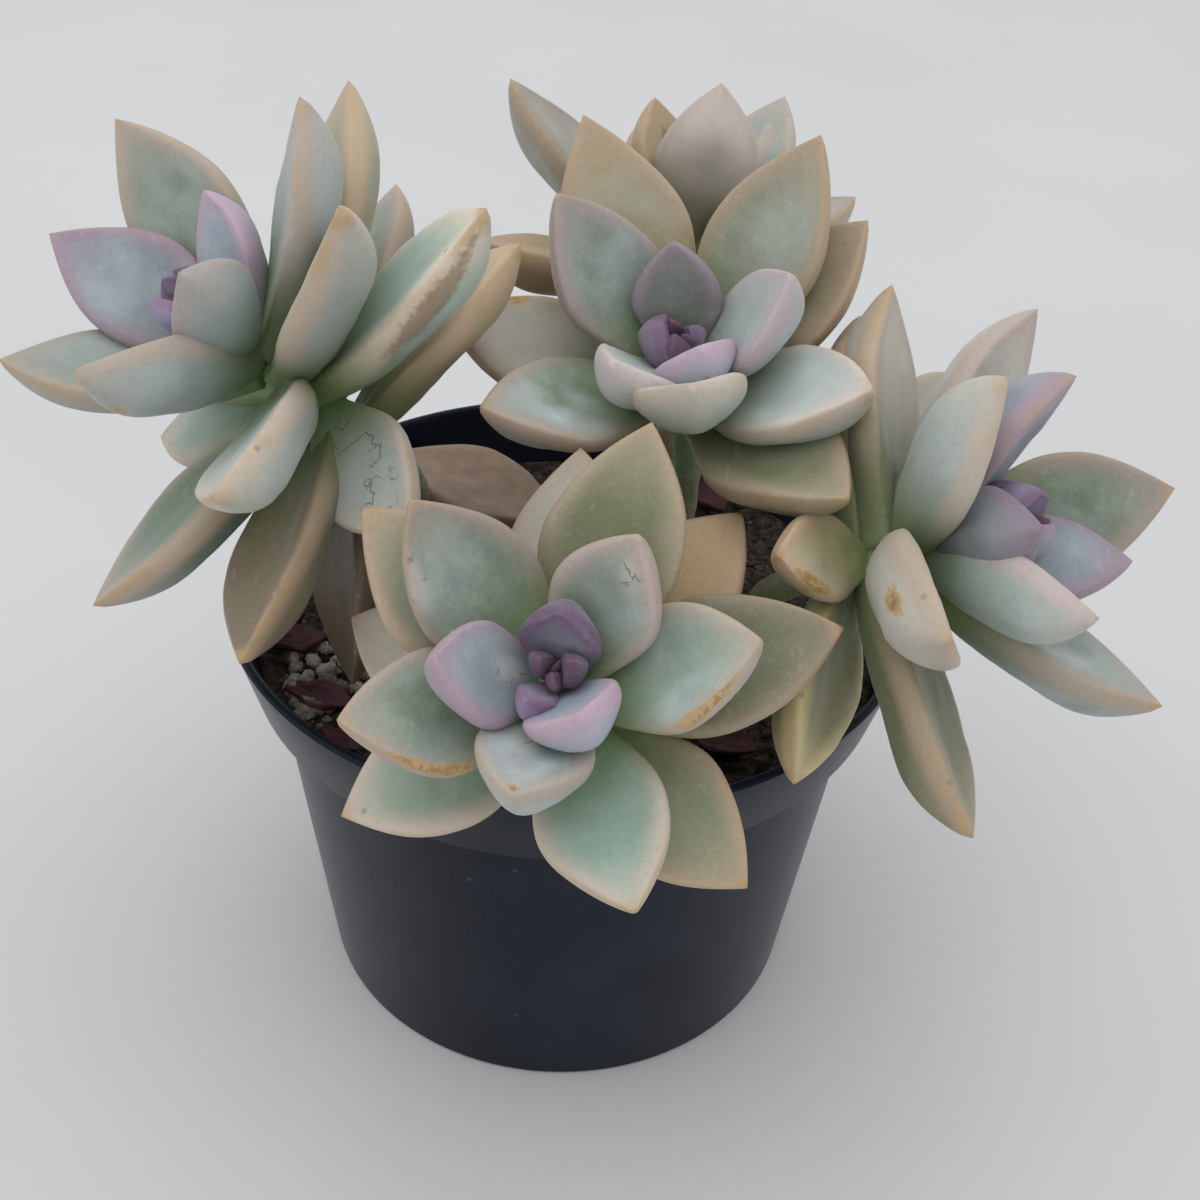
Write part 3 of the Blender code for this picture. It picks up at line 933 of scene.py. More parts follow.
@dataclass(frozen=True)
class GrainRule:
    """How loose grains are shaped and strewn, in metres, radians and shares.

    All but one in `heap_share` of the pumice grains lie in a heap at the left. A range is
    (smallest, largest). `knob_shift` is the step through the knobs' noise from one grain to
    the next, and the height at which it is cut.
    """

    stem_gap: float = 0.0038
    wall_gap: float = 0.0018
    strewn_gap: float = 0.0022
    heap_share: int = 3
    heap_middle: Pair = (-0.0365, -0.0165)
    heap_reach: Pair = (0.0040, 0.0065)
    size_range: Pair = (0.70, 1.00)
    width_range: Pair = (0.55, 0.95)
    knobs: float = 0.45
    knobs_across: float = 2.6
    knob_shift: Pair = (1.7, 3.1)
    lean: float = 0.35
    sunk: float = 0.45


STREWN = GrainRule()


class SoilBed:
    """Potting soil with crumbs on top, and loose grains lying on it."""

    def __init__(self, sizes: SoilSizes, stems: list[Pair]) -> None:
        """Keep the sizes and the places of the stems, where no grain lies."""
        self.sizes = sizes
        self.stems = stems

    def level(self, x: float, y: float) -> float:
        """Work out the height of the soil's top: broad lumps, then crumbs.

        Args:
            x: Place to the right of the pot's axis.
            y: Place behind it.

        Returns:
            The height there.
        """
        s = self.sizes
        # Three crossing waves, about a centimetre long, that add up to 2.2 at most.
        waves = (
            math.sin(x * 610 + 1.3) * math.cos(y * 540 - 0.4)
            + 0.7 * math.sin(x * 1130 - y * 870 + 2.1)
            + 0.5 * math.cos(y * 1310 + x * 420)
        )
        inside = min(1.0, max(0.0, s.edge_radius - math.hypot(x, y)) / s.fade)
        lumps = s.relief * waves / 2.2 * inside
        place = Vector((x, y, s.crumb_slice)) * s.crumbs_per_metre
        crumbs = s.crumb * noise.fractal(place, *s.crumb_noise)
        return s.level + lumps + crumbs * (s.edge_crumb + (1 - s.edge_crumb) * inside)

    def surface(self, material: bpy.types.Material) -> None:
        """Model the soil as one closed body with a finely lumped top.

        Args:
            material: Finish of the soil.
        """
        s = self.sizes
        bed = Workbench.ball("soil_bed", s.segments, s.rings)
        share, angle = Workbench.polar(bed)
        radius = np.interp(share, (*s.stops, 1.0), (*s.rings_out, 0.0))
        height = np.interp(share, (*s.stops, 1.0), (*s.rings_up, s.level))
        x, y = radius * np.cos(angle), radius * np.sin(angle)
        for index in np.nonzero(share > s.stops[-1])[0]:
            height[index] = self.level(x[index], y[index])
        Workbench.move_points(bed, np.column_stack((x, y, height)))
        Workbench.seat(bed, material, "potting_soil", "soil")

    def grain_place(self, rng: random.Random, heaped: bool) -> Pair:
        """Draw a place for a grain.

        Args:
            rng: The draws.
            heaped: Whether the grain lies in the heap at the left.

        Returns:
            Its place, which may be too near a stem or the wall.
        """
        spread = rng.random() ** 0.5 * (self.sizes.edge_radius - STREWN.strewn_gap)
        turn = rng.uniform(-math.pi, math.pi)
        if heaped:
            middle, reach = STREWN.heap_middle, STREWN.heap_reach
            return rng.gauss(middle[0], reach[0]), rng.gauss(middle[1], reach[1])
        return spread * math.cos(turn), spread * math.sin(turn)

    def is_free(self, x: float, y: float) -> bool:
        """Whether a grain's place is clear of the wall and the stems.

        Args:
            x: Place to the right of the pot's axis.
            y: Place behind it.

        Returns:
            Whether a grain may lie there.
        """
        if math.hypot(x, y) > self.sizes.edge_radius - STREWN.wall_gap:
            return False
        return all(math.hypot(x - a, y - b) >= STREWN.stem_gap for a, b in self.stems)

    @staticmethod
    def pebble(rng: random.Random, kind: Grain, ball: np.ndarray, number: int) -> np.ndarray:
        """Shape one grain out of a small ball.

        Args:
            rng: The draws.
            kind: Which grains it is one of.
            ball: The ball's vertices.
            number: The grain's number, which gives it knobs of its own.

        Returns:
            The grain's vertices round its own middle.
        """
        _, small, large, flat = kind.value
        size = rng.uniform(small, large) * rng.uniform(*STREWN.size_range)
        step, slice_at = STREWN.knob_shift
        shift = Vector((number * step, 0.0, slice_at))
        rough = np.array([
            1.0 + STREWN.knobs * noise.noise(Vector(p) * STREWN.knobs_across + shift) for p in ball
        ])
        squash = np.array((1.0, rng.uniform(*STREWN.width_range), flat))
        spin = Matrix.Rotation(rng.uniform(0, math.tau), 3, "Z")
        spin = spin @ Matrix.Rotation(rng.gauss(0.0, STREWN.lean), 3, "X")
        return (ball * rough[:, None] * squash * size) @ np.array(spin).T

    def grains(self, kind: Grain, material: bpy.types.Material) -> None:
        """Strew one kind of grain and join it into one piece.

        Args:
            kind: Which grains.
            material: Their finish.
        """
        rng = random.Random(kind.name)
        Workbench.pick()
        bpy.ops.mesh.primitive_ico_sphere_add(subdivisions=2, radius=0.5)
        model = bpy.context.object
        ball = Workbench.points(model)
        faces = np.array([face.vertices for face in model.data.polygons])
        bpy.data.objects.remove(model, do_unlink=True)
        points, loops = [], []
        while len(points) < kind.value[0]:
            number = len(points)
            heaped = kind is Grain.PUMICE and number % STREWN.heap_share > 0
            x, y = self.grain_place(rng, heaped)
            if self.is_free(x, y):
                shape = self.pebble(rng, kind, ball, number)
                lift = self.level(x, y) - shape[:, 2].min() * STREWN.sunk
                points.append(shape + np.array((x, y, lift)))
                loops.append(faces + number * len(ball))
        mesh = bpy.data.meshes.new(f"soil_{kind.name.lower()}")
        mesh.from_pydata(np.vstack(points).tolist(), [], np.vstack(loops).tolist())
        piece = bpy.data.objects.new(mesh.name, mesh)
        bpy.context.scene.collection.objects.link(piece)
        Workbench.pick(piece)
        if kind is not Grain.BARK:
            bpy.ops.object.shade_smooth()
        Workbench.seat(piece, material, "potting_soil", "soil")


@dataclass(frozen=True)
class Mark:
    """A scab, burn or scuff on a leaf: its middle and its reach both ways, in shares.

    `across` is -1 at one margin and +1 at the other, and `over` tells whether the mark is on
    the upper side. `reach` is in lengths of the leaf, and `wide` in its half-widths.
    """

    wear: Wear
    along: float
    across: float
    reach: float = 0.12
    wide: float = 0.25
    over: bool = True

    def spread(self, share: np.ndarray, across: np.ndarray, up: np.ndarray) -> np.ndarray:
        """How strong the mark is at each point of the leaf: 1 in its middle, falling to 0."""
        away = ((share - self.along) / self.reach) ** 2 + ((across - self.across) / self.wide) ** 2
        return np.exp(-away) * np.clip(0.5 + up * (2.0 if self.over else -2.0), 0.0, 1.0)


@dataclass(frozen=True)
class Look:
    """A leaf's tone, how light it is, its farina with painted highlight, tan edge, marks and rosy
    blush.
    """

    tone: Tone
    light: float = 1.0
    frost: float = 0.30
    tan: float = 0.45
    marks: tuple[Mark, ...] = ()
    blush: float = 0.0


ROSE: Rgb = (0.480, 0.380, 0.480)
ROSE_IN_HEART = 0.3
GREEN_BASE: dict[Tone, float] = {
    Tone.BUD: 0.0, Tone.MAUVE: 0.1, Tone.LILAC: 0.1, Tone.BEIGE: 0.6, Tone.STRAW: 0.6,
    Tone.TAN: 0.0, Tone.OCHRE: 0.35, Tone.MOSS: 0.45, Tone.OLIVE: 0.6,
}
USUAL_GREEN_BASE = 0.85
YOUNG_TONES: tuple[tuple[int, Tone], ...] = ((0, Tone.BUD), (3, Tone.MAUVE), (6, Tone.LILAC))
YOUNG_FROST_AND_HIGHLIGHT = 0.1


@dataclass(frozen=True)
class LeafRule:
    """Sizes and curves that all the leaves share, in metres, degrees and shares.

    A share along a leaf is 0 at its base and 1 at its tip. A field that ends in _growth is
    the power by which a size rises from the youngest leaf to a grown one, and one that ends
    in _power shapes a curve along or across a leaf. A leaf whose curl, in radians, is under
    `straight` has no arc. Broad dents and the small pocks in them are noises whose scales run
    along, across and through the leaf; waves and ripples are in radians from base to tip.
    Painted shade darkens the colours towards the base, where the leaf sits deep in the rosette: it
    lifts between the two shares of `base_shade_reach`, and the two base_shade fields are how light
    a colour is in that shade, and how much it gains towards the tip. `hue_play` is the range by
    which leaves differ. `first_seed` and `seed_step` give each leaf a seed of its own.
    """

    golden_angle: float = 137.5
    tiny_buds: int = 4
    bud_step: float = 0.2
    grown_leaf: int = 14
    tilt_growth: float = 0.80
    length_growth: float = 0.70
    width_growth: float = 0.33
    width: float = 0.0175
    bud_width_share: float = 0.28
    thickness: float = 0.0015
    thickness_share: float = 0.30
    young_curl: float = 40.0
    curl_loss: float = 26.0
    curl_leaf: int = 12
    old_curl_step: float = 2.25
    straight: float = 0.0001
    widest: float = 0.54
    base_width_share: float = 0.36
    tip_power: float = 1.9
    closing: float = 0.02
    thickest: float = 0.42
    thick_reach: float = 0.62
    end_power: int = 10
    upper_share: float = 0.20
    upper_power: float = 0.62
    lower_power: float = 0.85
    margin_drop: float = 0.12
    keel: float = 0.22
    keel_place: float = 0.80
    keel_reach: float = 0.17
    dish: float = 0.25
    dish_ease: float = 0.22
    dish_power: int = 6
    dents: float = 0.00034
    dent_scales: Point = (4.2, 2.1, 0.8)
    pocks: float = 0.45
    pock_scales: Point = (11.0, 5.0, 2.0)
    dent_shift: Point = (3.7, 1.3, 0.0)
    dent_fade: float = 1.15
    waves: float = 0.00016
    wave_turns: float = 9.0
    ripple: float = 0.018
    ripple_turns: float = 14.0
    bud_wobble: float = 0.35
    first_seed: int = 3
    seed_step: int = 40
    edge_power: float = 0.8
    base_shade_reach: Pair = (0.12, 0.82)
    heart_base_shade: Pair = (0.59, 0.33)
    rim_base_shade: Pair = (0.70, 0.23)
    hue_play: Pair = (0.96, 1.04)


@dataclass(frozen=True)
class StemRule:
    """Sizes that all the stems share, in metres and shares of the radius.

    `past_crown` is in steps from one leaf to the next, and `shoulder` is the power that
    rounds the two ends. `bump_scales` are those of the bumps' noise, round the stem and
    along it.
    """

    radius: float = 0.0020
    foot: float = 0.059
    sunk: float = 0.008
    past_crown: float = 2.4
    bend_steps: int = 24
    samples: int = 160
    scar_gap: float = 0.0026
    scars: float = 0.03
    bumps: float = 0.10
    bump_scales: Pair = (1.4, 26.0)
    shoulder: int = 30
    segments: int = 24
    rings: int = 110


LEAF = LeafRule()
STEM = StemRule()


@dataclass(frozen=True)
class Leaf:
    """Where one leaf stands and how large it is.

    The leaf starts at `base` and runs between `axis`, the way the rosette faces, and `out`.
    `tilt` and `curl` are in radians; `seed` and `wobble` give it dents of its own.
    """

    base: Vector
    axis: Vector
    out: Vector
    tilt: float
    curl: float
    length: float
    width: float
    thickness: float
    seed: int = 0
    wobble: float = 1.0

    @staticmethod
    def taper(share: np.ndarray) -> np.ndarray:
        """Shares of the full width from the widest place to the tip."""
        far = np.clip((share - LEAF.widest) / (1 - LEAF.widest), 0.0, 1.0)
        return 1 - far ** LEAF.tip_power

    def half_width(self, share: np.ndarray) -> np.ndarray:
        """Work out half the leaf's width: narrow base, broad middle, pointed tip.

        Args:
            share: How far along the leaf each point is.

        Returns:
            Half-widths in metres.
        """
        near = np.clip(share / LEAF.widest, 0.0, 1.0)
        smooth = near * near * (3 - 2 * near)
        swell = LEAF.base_width_share + (1 - LEAF.base_width_share) * smooth
        half = np.where(share < LEAF.widest, swell, self.taper(share))
        return half * self.width / 2 * np.minimum(1.0, share / LEAF.closing)

    def height(self, share: np.ndarray, up: np.ndarray) -> np.ndarray:
        """Work out how far the skin stands off the leaf's spine, with the keel beneath.

        Args:
            share: How far along the leaf each point is.
            up: How far it is round to the upper side, -1 to 1.

        Returns:
            Heights in metres, before the leaf is dished.
        """
        full = np.sqrt(np.maximum(0.0, 1 - ((share - LEAF.thickest) / LEAF.thick_reach) ** 2))
        full *= np.sqrt(np.maximum(0.0, 1 - share ** LEAF.end_power)) * self.thickness
        full *= np.minimum(1.0, share / LEAF.closing)
        above = up > 0
        upper = LEAF.upper_share + LEAF.margin_drop
        power = np.where(above, LEAF.upper_power, LEAF.lower_power)
        rise = np.sign(up) * np.abs(up) ** power * full * np.where(above, upper, 1 - upper)
        keel = LEAF.keel * np.exp(-((share - LEAF.keel_place) / LEAF.keel_reach) ** 2)
        rise -= np.where(up < 0, full * keel * np.abs(up) ** 3, 0.0)
        return rise - LEAF.margin_drop * full

    def dents(self, share: np.ndarray, across: np.ndarray, up: np.ndarray) -> np.ndarray:
        """Work out the skin's small natural dents and waves.

        Args:
            share: How far along the leaf each point is.
            across: How far it is to the side.
            up: How far it is round to the upper side.

        Returns:
            Heights in metres.
        """
        # Broad dents and smaller ones in them, faded out at the base and at the tip.
        shift = Vector(self.seed * np.array(LEAF.dent_shift))
        places = np.column_stack((share, across, up))
        bumps = np.array([
            noise.noise(Vector(broad) + shift) + LEAF.pocks * noise.noise(Vector(small) + shift)
            for broad, small in zip(places * LEAF.dent_scales, places * LEAF.pock_scales)
        ])
        bumps *= np.sin(np.clip(share * LEAF.dent_fade, 0.0, 1.0) * math.pi) ** 0.5
        waves = across * np.sin(share * LEAF.wave_turns + self.seed) * np.sin(share * math.pi)
        return (bumps * LEAF.dents + waves * LEAF.waves) * self.wobble

    def section(self, share: np.ndarray, angle: np.ndarray) -> tuple[np.ndarray, np.ndarray]:
        """Work out the leaf's cross-sections.

        Args:
            share: How far along the leaf each point is.
            angle: Where it is round the cross-section.

        Returns:
            How far each point is across the leaf, and up from its spine.
        """
        across, up = np.cos(angle), np.sin(angle)
        half = self.half_width(share)
        level = 1 - LEAF.dish_ease * across ** LEAF.dish_power
        dish = LEAF.dish * half * across * across * level
        rise = self.height(share, up) + dish + self.dents(share, across, up)
        ripple = np.sin(share * LEAF.ripple_turns + self.seed * 2.0 + across)
        return half * (1 + LEAF.ripple * self.wobble * ripple) * across, rise

    def skin(self, share: np.ndarray, angle: np.ndarray) -> np.ndarray:
        """Bend the cross-sections along the leaf's arc.

        Args:
            share: How far along the leaf each point is.
            angle: Where it is round the cross-section.

        Returns:
            The points in world space.
        """
        across, up = self.section(share, angle)
        slope = self.tilt + self.curl * (0.5 - share)
        if abs(self.curl) < LEAF.straight:
            outwards = self.length * share * math.sin(self.tilt)
            along = self.length * share * math.cos(self.tilt)
        else:
            start = self.tilt + self.curl / 2
            radius = self.length / (2 * math.sin(self.curl / 2))
            outwards = radius * (np.cos(slope) - math.cos(start))
            along = radius * (math.sin(start) - np.sin(slope))
        outwards = outwards - up * np.cos(slope)
        along = along + up * np.sin(slope)
        side = self.out.cross(self.axis)
        return (
            np.array(self.base)
            + across[:, None] * np.array(side)
            + outwards[:, None] * np.array(self.out)
            + along[:, None] * np.array(self.axis)
        )

    def tones(self, share: np.ndarray, look: Look) -> tuple[np.ndarray, np.ndarray]:
        """Work out the leaf's colours, with painted shade that darkens them towards the base.

        Args:
            share: How far along the leaf each point is.
            look: The leaf's look.

        Returns:
            The heart's colour and the rim's colour at each point.
        """
        rng = random.Random(self.seed)
        # Painted shade: the colours are darkest at the base, deep in the rosette, and lighten
        # towards the tip.
        start, stop = LEAF.base_shade_reach
        far = np.clip((share - start) / (stop - start), 0.0, 1.0)[:, None]
        heart, rim = (
            ((1 - rosy) * np.array(colour) + rosy * np.array(ROSE)) * look.light
            for colour, rosy in zip(look.tone.value, (look.blush * ROSE_IN_HEART, look.blush))
        )
        heart = heart * np.array([rng.uniform(*LEAF.hue_play), 1.0, rng.uniform(*LEAF.hue_play)])
        (heart_in_shade, heart_gain), (rim_in_shade, rim_gain) = LEAF.heart_base_shade, LEAF.rim_base_shade
        return heart * (heart_in_shade + heart_gain * far), rim * (rim_in_shade + rim_gain * far)

    def dress(self, piece: bpy.types.Object, look: Look) -> None:
        """Shape a sphere into this leaf and store on it what its material reads.

        Args:
            piece: The sphere.
            look: The leaf's look.
        """
        share, angle = Workbench.polar(piece)
        across, up = np.cos(angle), np.sin(angle)
        edge = (1 - np.abs(across)) * self.taper(share) ** LEAF.edge_power
        heart, rim = self.tones(share, look)
        green = GREEN_BASE.get(look.tone, USUAL_GREEN_BASE) * (1 - look.blush)
        tone = np.array((look.frost, green, look.tan))
        marks = np.zeros((len(share), len(Wear)))
        for mark in look.marks:
            worn = marks[:, mark.wear.value]
            marks[:, mark.wear.value] = np.maximum(worn, mark.spread(share, across, up))
        Workbench.move_points(piece, self.skin(share, angle))
        Workbench.store(piece, "leaf_place", np.column_stack((share, edge, up)))
        Workbench.store(piece, "leaf_tone", np.tile(tone, (len(share), 1)))
        Workbench.store(piece, "leaf_heart", heart)
        Workbench.store(piece, "leaf_rim", rim)
        Workbench.store(piece, "leaf_marks", marks)


@dataclass(frozen=True)
class Rosette:
    """One head of leaves on its stem.

    The leaves follow a spiral: each is a golden angle round from the one before it, lower on
    the stem, longer and laid further out. `turn` is the way the spiral runs, +1 or -1.
    `tilt` and `length` go from the youngest leaf to a grown one, and `drop` is the step down
    the stem. `nudges` names the leaves that stand off the spiral, as (degrees round, degrees
    outwards, share longer), and `fallen` the ones that the stem has lost. `looks` holds each
    leaf's tone and marks.
    """

    name: str
    root: Pair
    crown: Point
    lean: float
    heading: float
    spin: float
    turn: int
    tilt: Pair
    length: Pair
    drop: float
    leaves: int
    fallen: tuple[int, ...] = ()
    nudges: dict[int, Point] = field(default_factory=dict)
    looks: dict[int, Look] = field(default_factory=dict)

    @property
    def axis(self) -> Vector:
        """Direction in which the rosette faces."""
        lean, heading = math.radians(self.lean), math.radians(self.heading)
        return Matrix.Rotation(heading, 3, "Z") @ Vector((math.sin(lean), 0.0, math.cos(lean)))

    def leaf(self, index: int) -> Leaf:
        """Work out one leaf from its place on the spiral.

        Args:
            index: The leaf's number, 0 for the youngest full leaf and below 0 for tiny buds.

        Returns:
            The leaf.
        """
        axis = self.axis
        high = Vector((0.0, 0.0, 1.0))
        start = (high - axis * high.dot(axis)).normalized()
        side = axis.cross(start)
        turn_nudge, tilt_nudge, growth = self.nudges.get(index, (0.0, 0.0, 0.0))
        age = max(0, index)
        grown = min(1.0, age / LEAF.grown_leaf)
        bud = 1 + LEAF.bud_step * min(0, index)
        tilt = self.tilt[0] * bud + (self.tilt[1] - self.tilt[0]) * grown ** LEAF.tilt_growth
        length = self.length[0] * bud
        length += (self.length[1] - self.length[0]) * grown ** LEAF.length_growth
        share = LEAF.bud_width_share * bud
        share += (1 - LEAF.bud_width_share) * grown ** LEAF.width_growth
        width = LEAF.width * share * math.sqrt(1 + growth)
        curl = LEAF.young_curl - LEAF.curl_loss * min(1.0, age / LEAF.curl_leaf)
        curl -= LEAF.old_curl_step * max(0, index - LEAF.curl_leaf)
        turned = self.spin + turn_nudge + self.turn * LEAF.golden_angle * index
        turned = math.radians(turned)
        return Leaf(
            base=Vector(self.crown) - axis * (self.drop * index), axis=axis,
            out=start * math.cos(turned) + side * math.sin(turned),
            tilt=math.radians(tilt + tilt_nudge), curl=math.radians(curl),
            length=length * (1 + growth), width=width,
            thickness=LEAF.thickness_share * width + LEAF.thickness,
            seed=index + LEAF.first_seed + LEAF.seed_step * len(self.name),
            wobble=min(1.0, LEAF.bud_wobble + grown),
        )

    def look(self, index: int) -> Look:
        """Find a leaf's look: its own, or the one that leaves of its age have.

        Args:
            index: The leaf's number.

        Returns:
            The look.
        """
        if index in self.looks:
            return self.looks[index]
        for until, tone in YOUNG_TONES:
            if index < until:
                return Look(tone, frost=YOUNG_FROST_AND_HIGHLIGHT, tan=0.0)
        return Look(Tone.SAGE if index % 3 else Tone.MINT)

    def stem_path(self) -> np.ndarray:
        """Lay out the stem: upright out of the soil, a smooth bend, straight to the buds.

        Returns:
            Points along its middle, from the foot up.
        """
        foot = Vector((*self.root, STEM.foot))
        crown = Vector(self.crown)
        neck = crown - self.axis * (self.drop * (self.leaves - 1) + STEM.radius)
        reach = (neck - foot).length * 0.5
        first, second = foot + Vector((0.0, 0.0, reach)), neck - self.axis * reach
        path = [foot - Vector((0.0, 0.0, STEM.sunk))]
        for step in range(STEM.bend_steps + 1):
            s = step / STEM.bend_steps
            path.append(
                foot * (1 - s) ** 3 + first * 3 * (1 - s) ** 2 * s
                + second * 3 * (1 - s) * s ** 2 + neck * s ** 3
            )
        path.append(crown + self.axis * self.drop * STEM.past_crown)
        return np.array(path)

    @staticmethod
    def carry_frame(share: np.ndarray, path: np.ndarray) -> np.ndarray:
        """Carry two side directions along a path without twist.

        Args:
            share: How far along the path each point is.
            path: The path's points.

        Returns:
            One row per point: its middle on the path, then the two side directions.
        """
        gaps = np.linalg.norm(np.diff(path, axis=0), axis=1)
        reach = np.concatenate(([0.0], np.cumsum(gaps))) / gaps.sum()
        samples = np.linspace(0.0, 1.0, STEM.samples)
        line = np.column_stack([np.interp(samples, reach, path[:, i]) for i in range(3)])
        ways = np.gradient(line, axis=0)
        ways /= np.linalg.norm(ways, axis=1)[:, None]
        first = Vector((1.0, 0.0, 0.0))
        sides = []
        for way in ways:
            way = Vector(way)
            first = (first - way * first.dot(way)).normalized()
            sides.append((*first, *way.cross(first)))
        return np.column_stack([
            np.interp(share, samples, column) for column in np.column_stack((line, sides)).T
        ])

    def build_stem(self, material: bpy.types.Material) -> None:
        """Model the stem: a sphere pulled out along the path, with leaf scars round it.

        Args:
            material: Finish of the stem.
        """
        piece = Workbench.ball(f"{self.name}_stem", STEM.segments, STEM.rings)
        share, angle = Workbench.polar(piece)
        path = self.stem_path()
        middle, first, second = np.split(self.carry_frame(share, path), 3, axis=1)
        length = np.linalg.norm(np.diff(path, axis=0), axis=1).sum()
        start = random.Random(self.name).random()
        scars = np.sin(share * length / STEM.scar_gap * math.tau + angle + start)
        wide, long = STEM.bump_scales
        bumps = np.array([
            noise.noise(Vector((math.cos(a) * wide, math.sin(a) * wide, s * long)))
            for s, a in zip(share, angle)
        ])
        ends = np.sqrt(np.clip(1 - np.abs(2 * share - 1) ** STEM.shoulder, 0.0, 1.0))
        radius = STEM.radius * ends * (1 + STEM.scars * scars + STEM.bumps * bumps)
        turned = np.cos(angle)[:, None] * first + np.sin(angle)[:, None] * second
        Workbench.move_points(piece, middle + radius[:, None] * turned)
        Workbench.store(piece, "leaf_place", np.column_stack((share, share, share)))
        Workbench.seat(piece, material, "succulent_leaf", self.name)

    def build(
        self, model: bpy.types.Object, skin: bpy.types.Material, stem: bpy.types.Material,
    ) -> None:
        """Model the stem and every leaf.

        Args:
            model: Sphere that each leaf is shaped from.
            skin: Finish of the leaves.
            stem: Finish of the stem.
        """
        self.build_stem(stem)
        for index in range(-LEAF.tiny_buds, self.leaves):
            if index in self.fallen:
                continue
            name = f"{self.name}_leaf_{index + LEAF.tiny_buds + 1:02d}"
            piece = Workbench.twin(model, name)
            self.leaf(index).dress(piece, self.look(index))
            Workbench.seat(piece, skin, "succulent_leaf", self.name)


@dataclass(frozen=True)
class LooseLeaf:
    """A leaf off its stem, on the soil: where its base and its tip lie, and its size.

    `rise` is how steeply it leans up and `curl` how far it bends, both in degrees.
    """

    name: str
    base: Pair
    tip: Pair
    width: float
    thickness: float
    slot: str
    rise: float = 0.0
    curl: float = 0.0
    wobble: float = 1.3

    def build(self, model: bpy.types.Object, skin: bpy.types.Material) -> None:
        """Shape the leaf and lay it where its solid lies.

        Args:
            model: Sphere that the leaf is shaped from.
            skin: Finish of the leaf.
        """
        base, tip = Vector((*self.base, 0.0)), Vector((*self.tip, 0.0))
        rise = math.radians(self.rise)
        leaf = Leaf(
            base=base, axis=Vector((0.0, 0.0, 1.0)), out=(tip - base).normalized(),
            tilt=math.pi / 2 - rise, curl=math.radians(self.curl),
            length=(tip - base).length / math.cos(rise), width=self.width,
            thickness=self.thickness, seed=len(self.name), wobble=self.wobble,
        )
        piece = Workbench.twin(model, f"{self.name}_skin")
        leaf.dress(piece, Look(Tone.TAN))
        points = Workbench.points(piece)
        points[:, 2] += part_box(self.name)[0][2] - points[:, 2].min()
        Workbench.move_points(piece, points)
        Workbench.seat(piece, skin, self.slot, self.name)


@dataclass(frozen=True)
class Studio:
    """Pale floor, soft light from above, and the photograph's viewpoint.

    `eye` is where the camera stands, `gaze` the way it looks and `roll` its turn in degrees.
    """

    eye: Point = (0.0045, -0.2012, 0.2151)
    gaze: Point = (0.0, 0.798, -0.603)
    roll: float = 2.97
    lens: float = 51.0
    sensor: float = 36.0
    nearest: float = 0.01
    floor_size: float = 6.0
    sky: Rgb = (0.97, 0.985, 1.0)
    sky_strength: float = 0.83
    lamp_power: float = 2.1
    lamp_place: Point = (-0.10, -0.06, 0.85)
    lamp_size: float = 1.10

    def build(self) -> None:
        """Set up the floor, the lights and the camera."""
        Workbench.pick()
        bpy.ops.mesh.primitive_plane_add(size=self.floor_size)
        floor = Workbench.named("studio_floor")
        floor.data.materials.append(FloorPaper().material())
        self.light()
        self.aim()
        bpy.context.scene.view_settings.view_transform = "Standard"

    def light(self) -> None:
        """Hang the sky and one soft round lamp that shines at the pot."""
        world = bpy.data.worlds.new("soft_sky")
        world.use_nodes = True
        background = world.node_tree.nodes["Background"]
        background.inputs["Color"].default_value = (*self.sky, 1.0)
        background.inputs["Strength"].default_value = self.sky_strength
        bpy.context.scene.world = world
        lamp = bpy.data.lights.new("soft_lamp", "AREA")
        lamp.shape, lamp.size, lamp.energy = "DISK", self.lamp_size, self.lamp_power
        light = bpy.data.objects.new("soft_lamp", lamp)
        light.location = self.lamp_place
        light.rotation_euler = (-Vector(self.lamp_place)).to_track_quat("-Z", "Y").to_euler()
        bpy.context.scene.collection.objects.link(light)

    def aim(self) -> None:
        """Stand the camera where the photograph was taken from."""
        lens = bpy.data.cameras.new("camera")
        lens.lens, lens.sensor_width, lens.clip_start = self.lens, self.sensor, self.nearest
        camera = bpy.data.objects.new("camera", lens)
        back = -Vector(self.gaze).normalized()
        right = Vector((1.0, 0.0, 0.0))
        turn = math.radians(self.roll)
        across = right * math.cos(turn) + back.cross(right) * math.sin(turn)
        rotation = Matrix((across, back.cross(across), back)).transposed()
        camera.matrix_world = Matrix.Translation(self.eye) @ rotation.to_4x4()
        bpy.context.scene.collection.objects.link(camera)
        bpy.context.scene.camera = camera


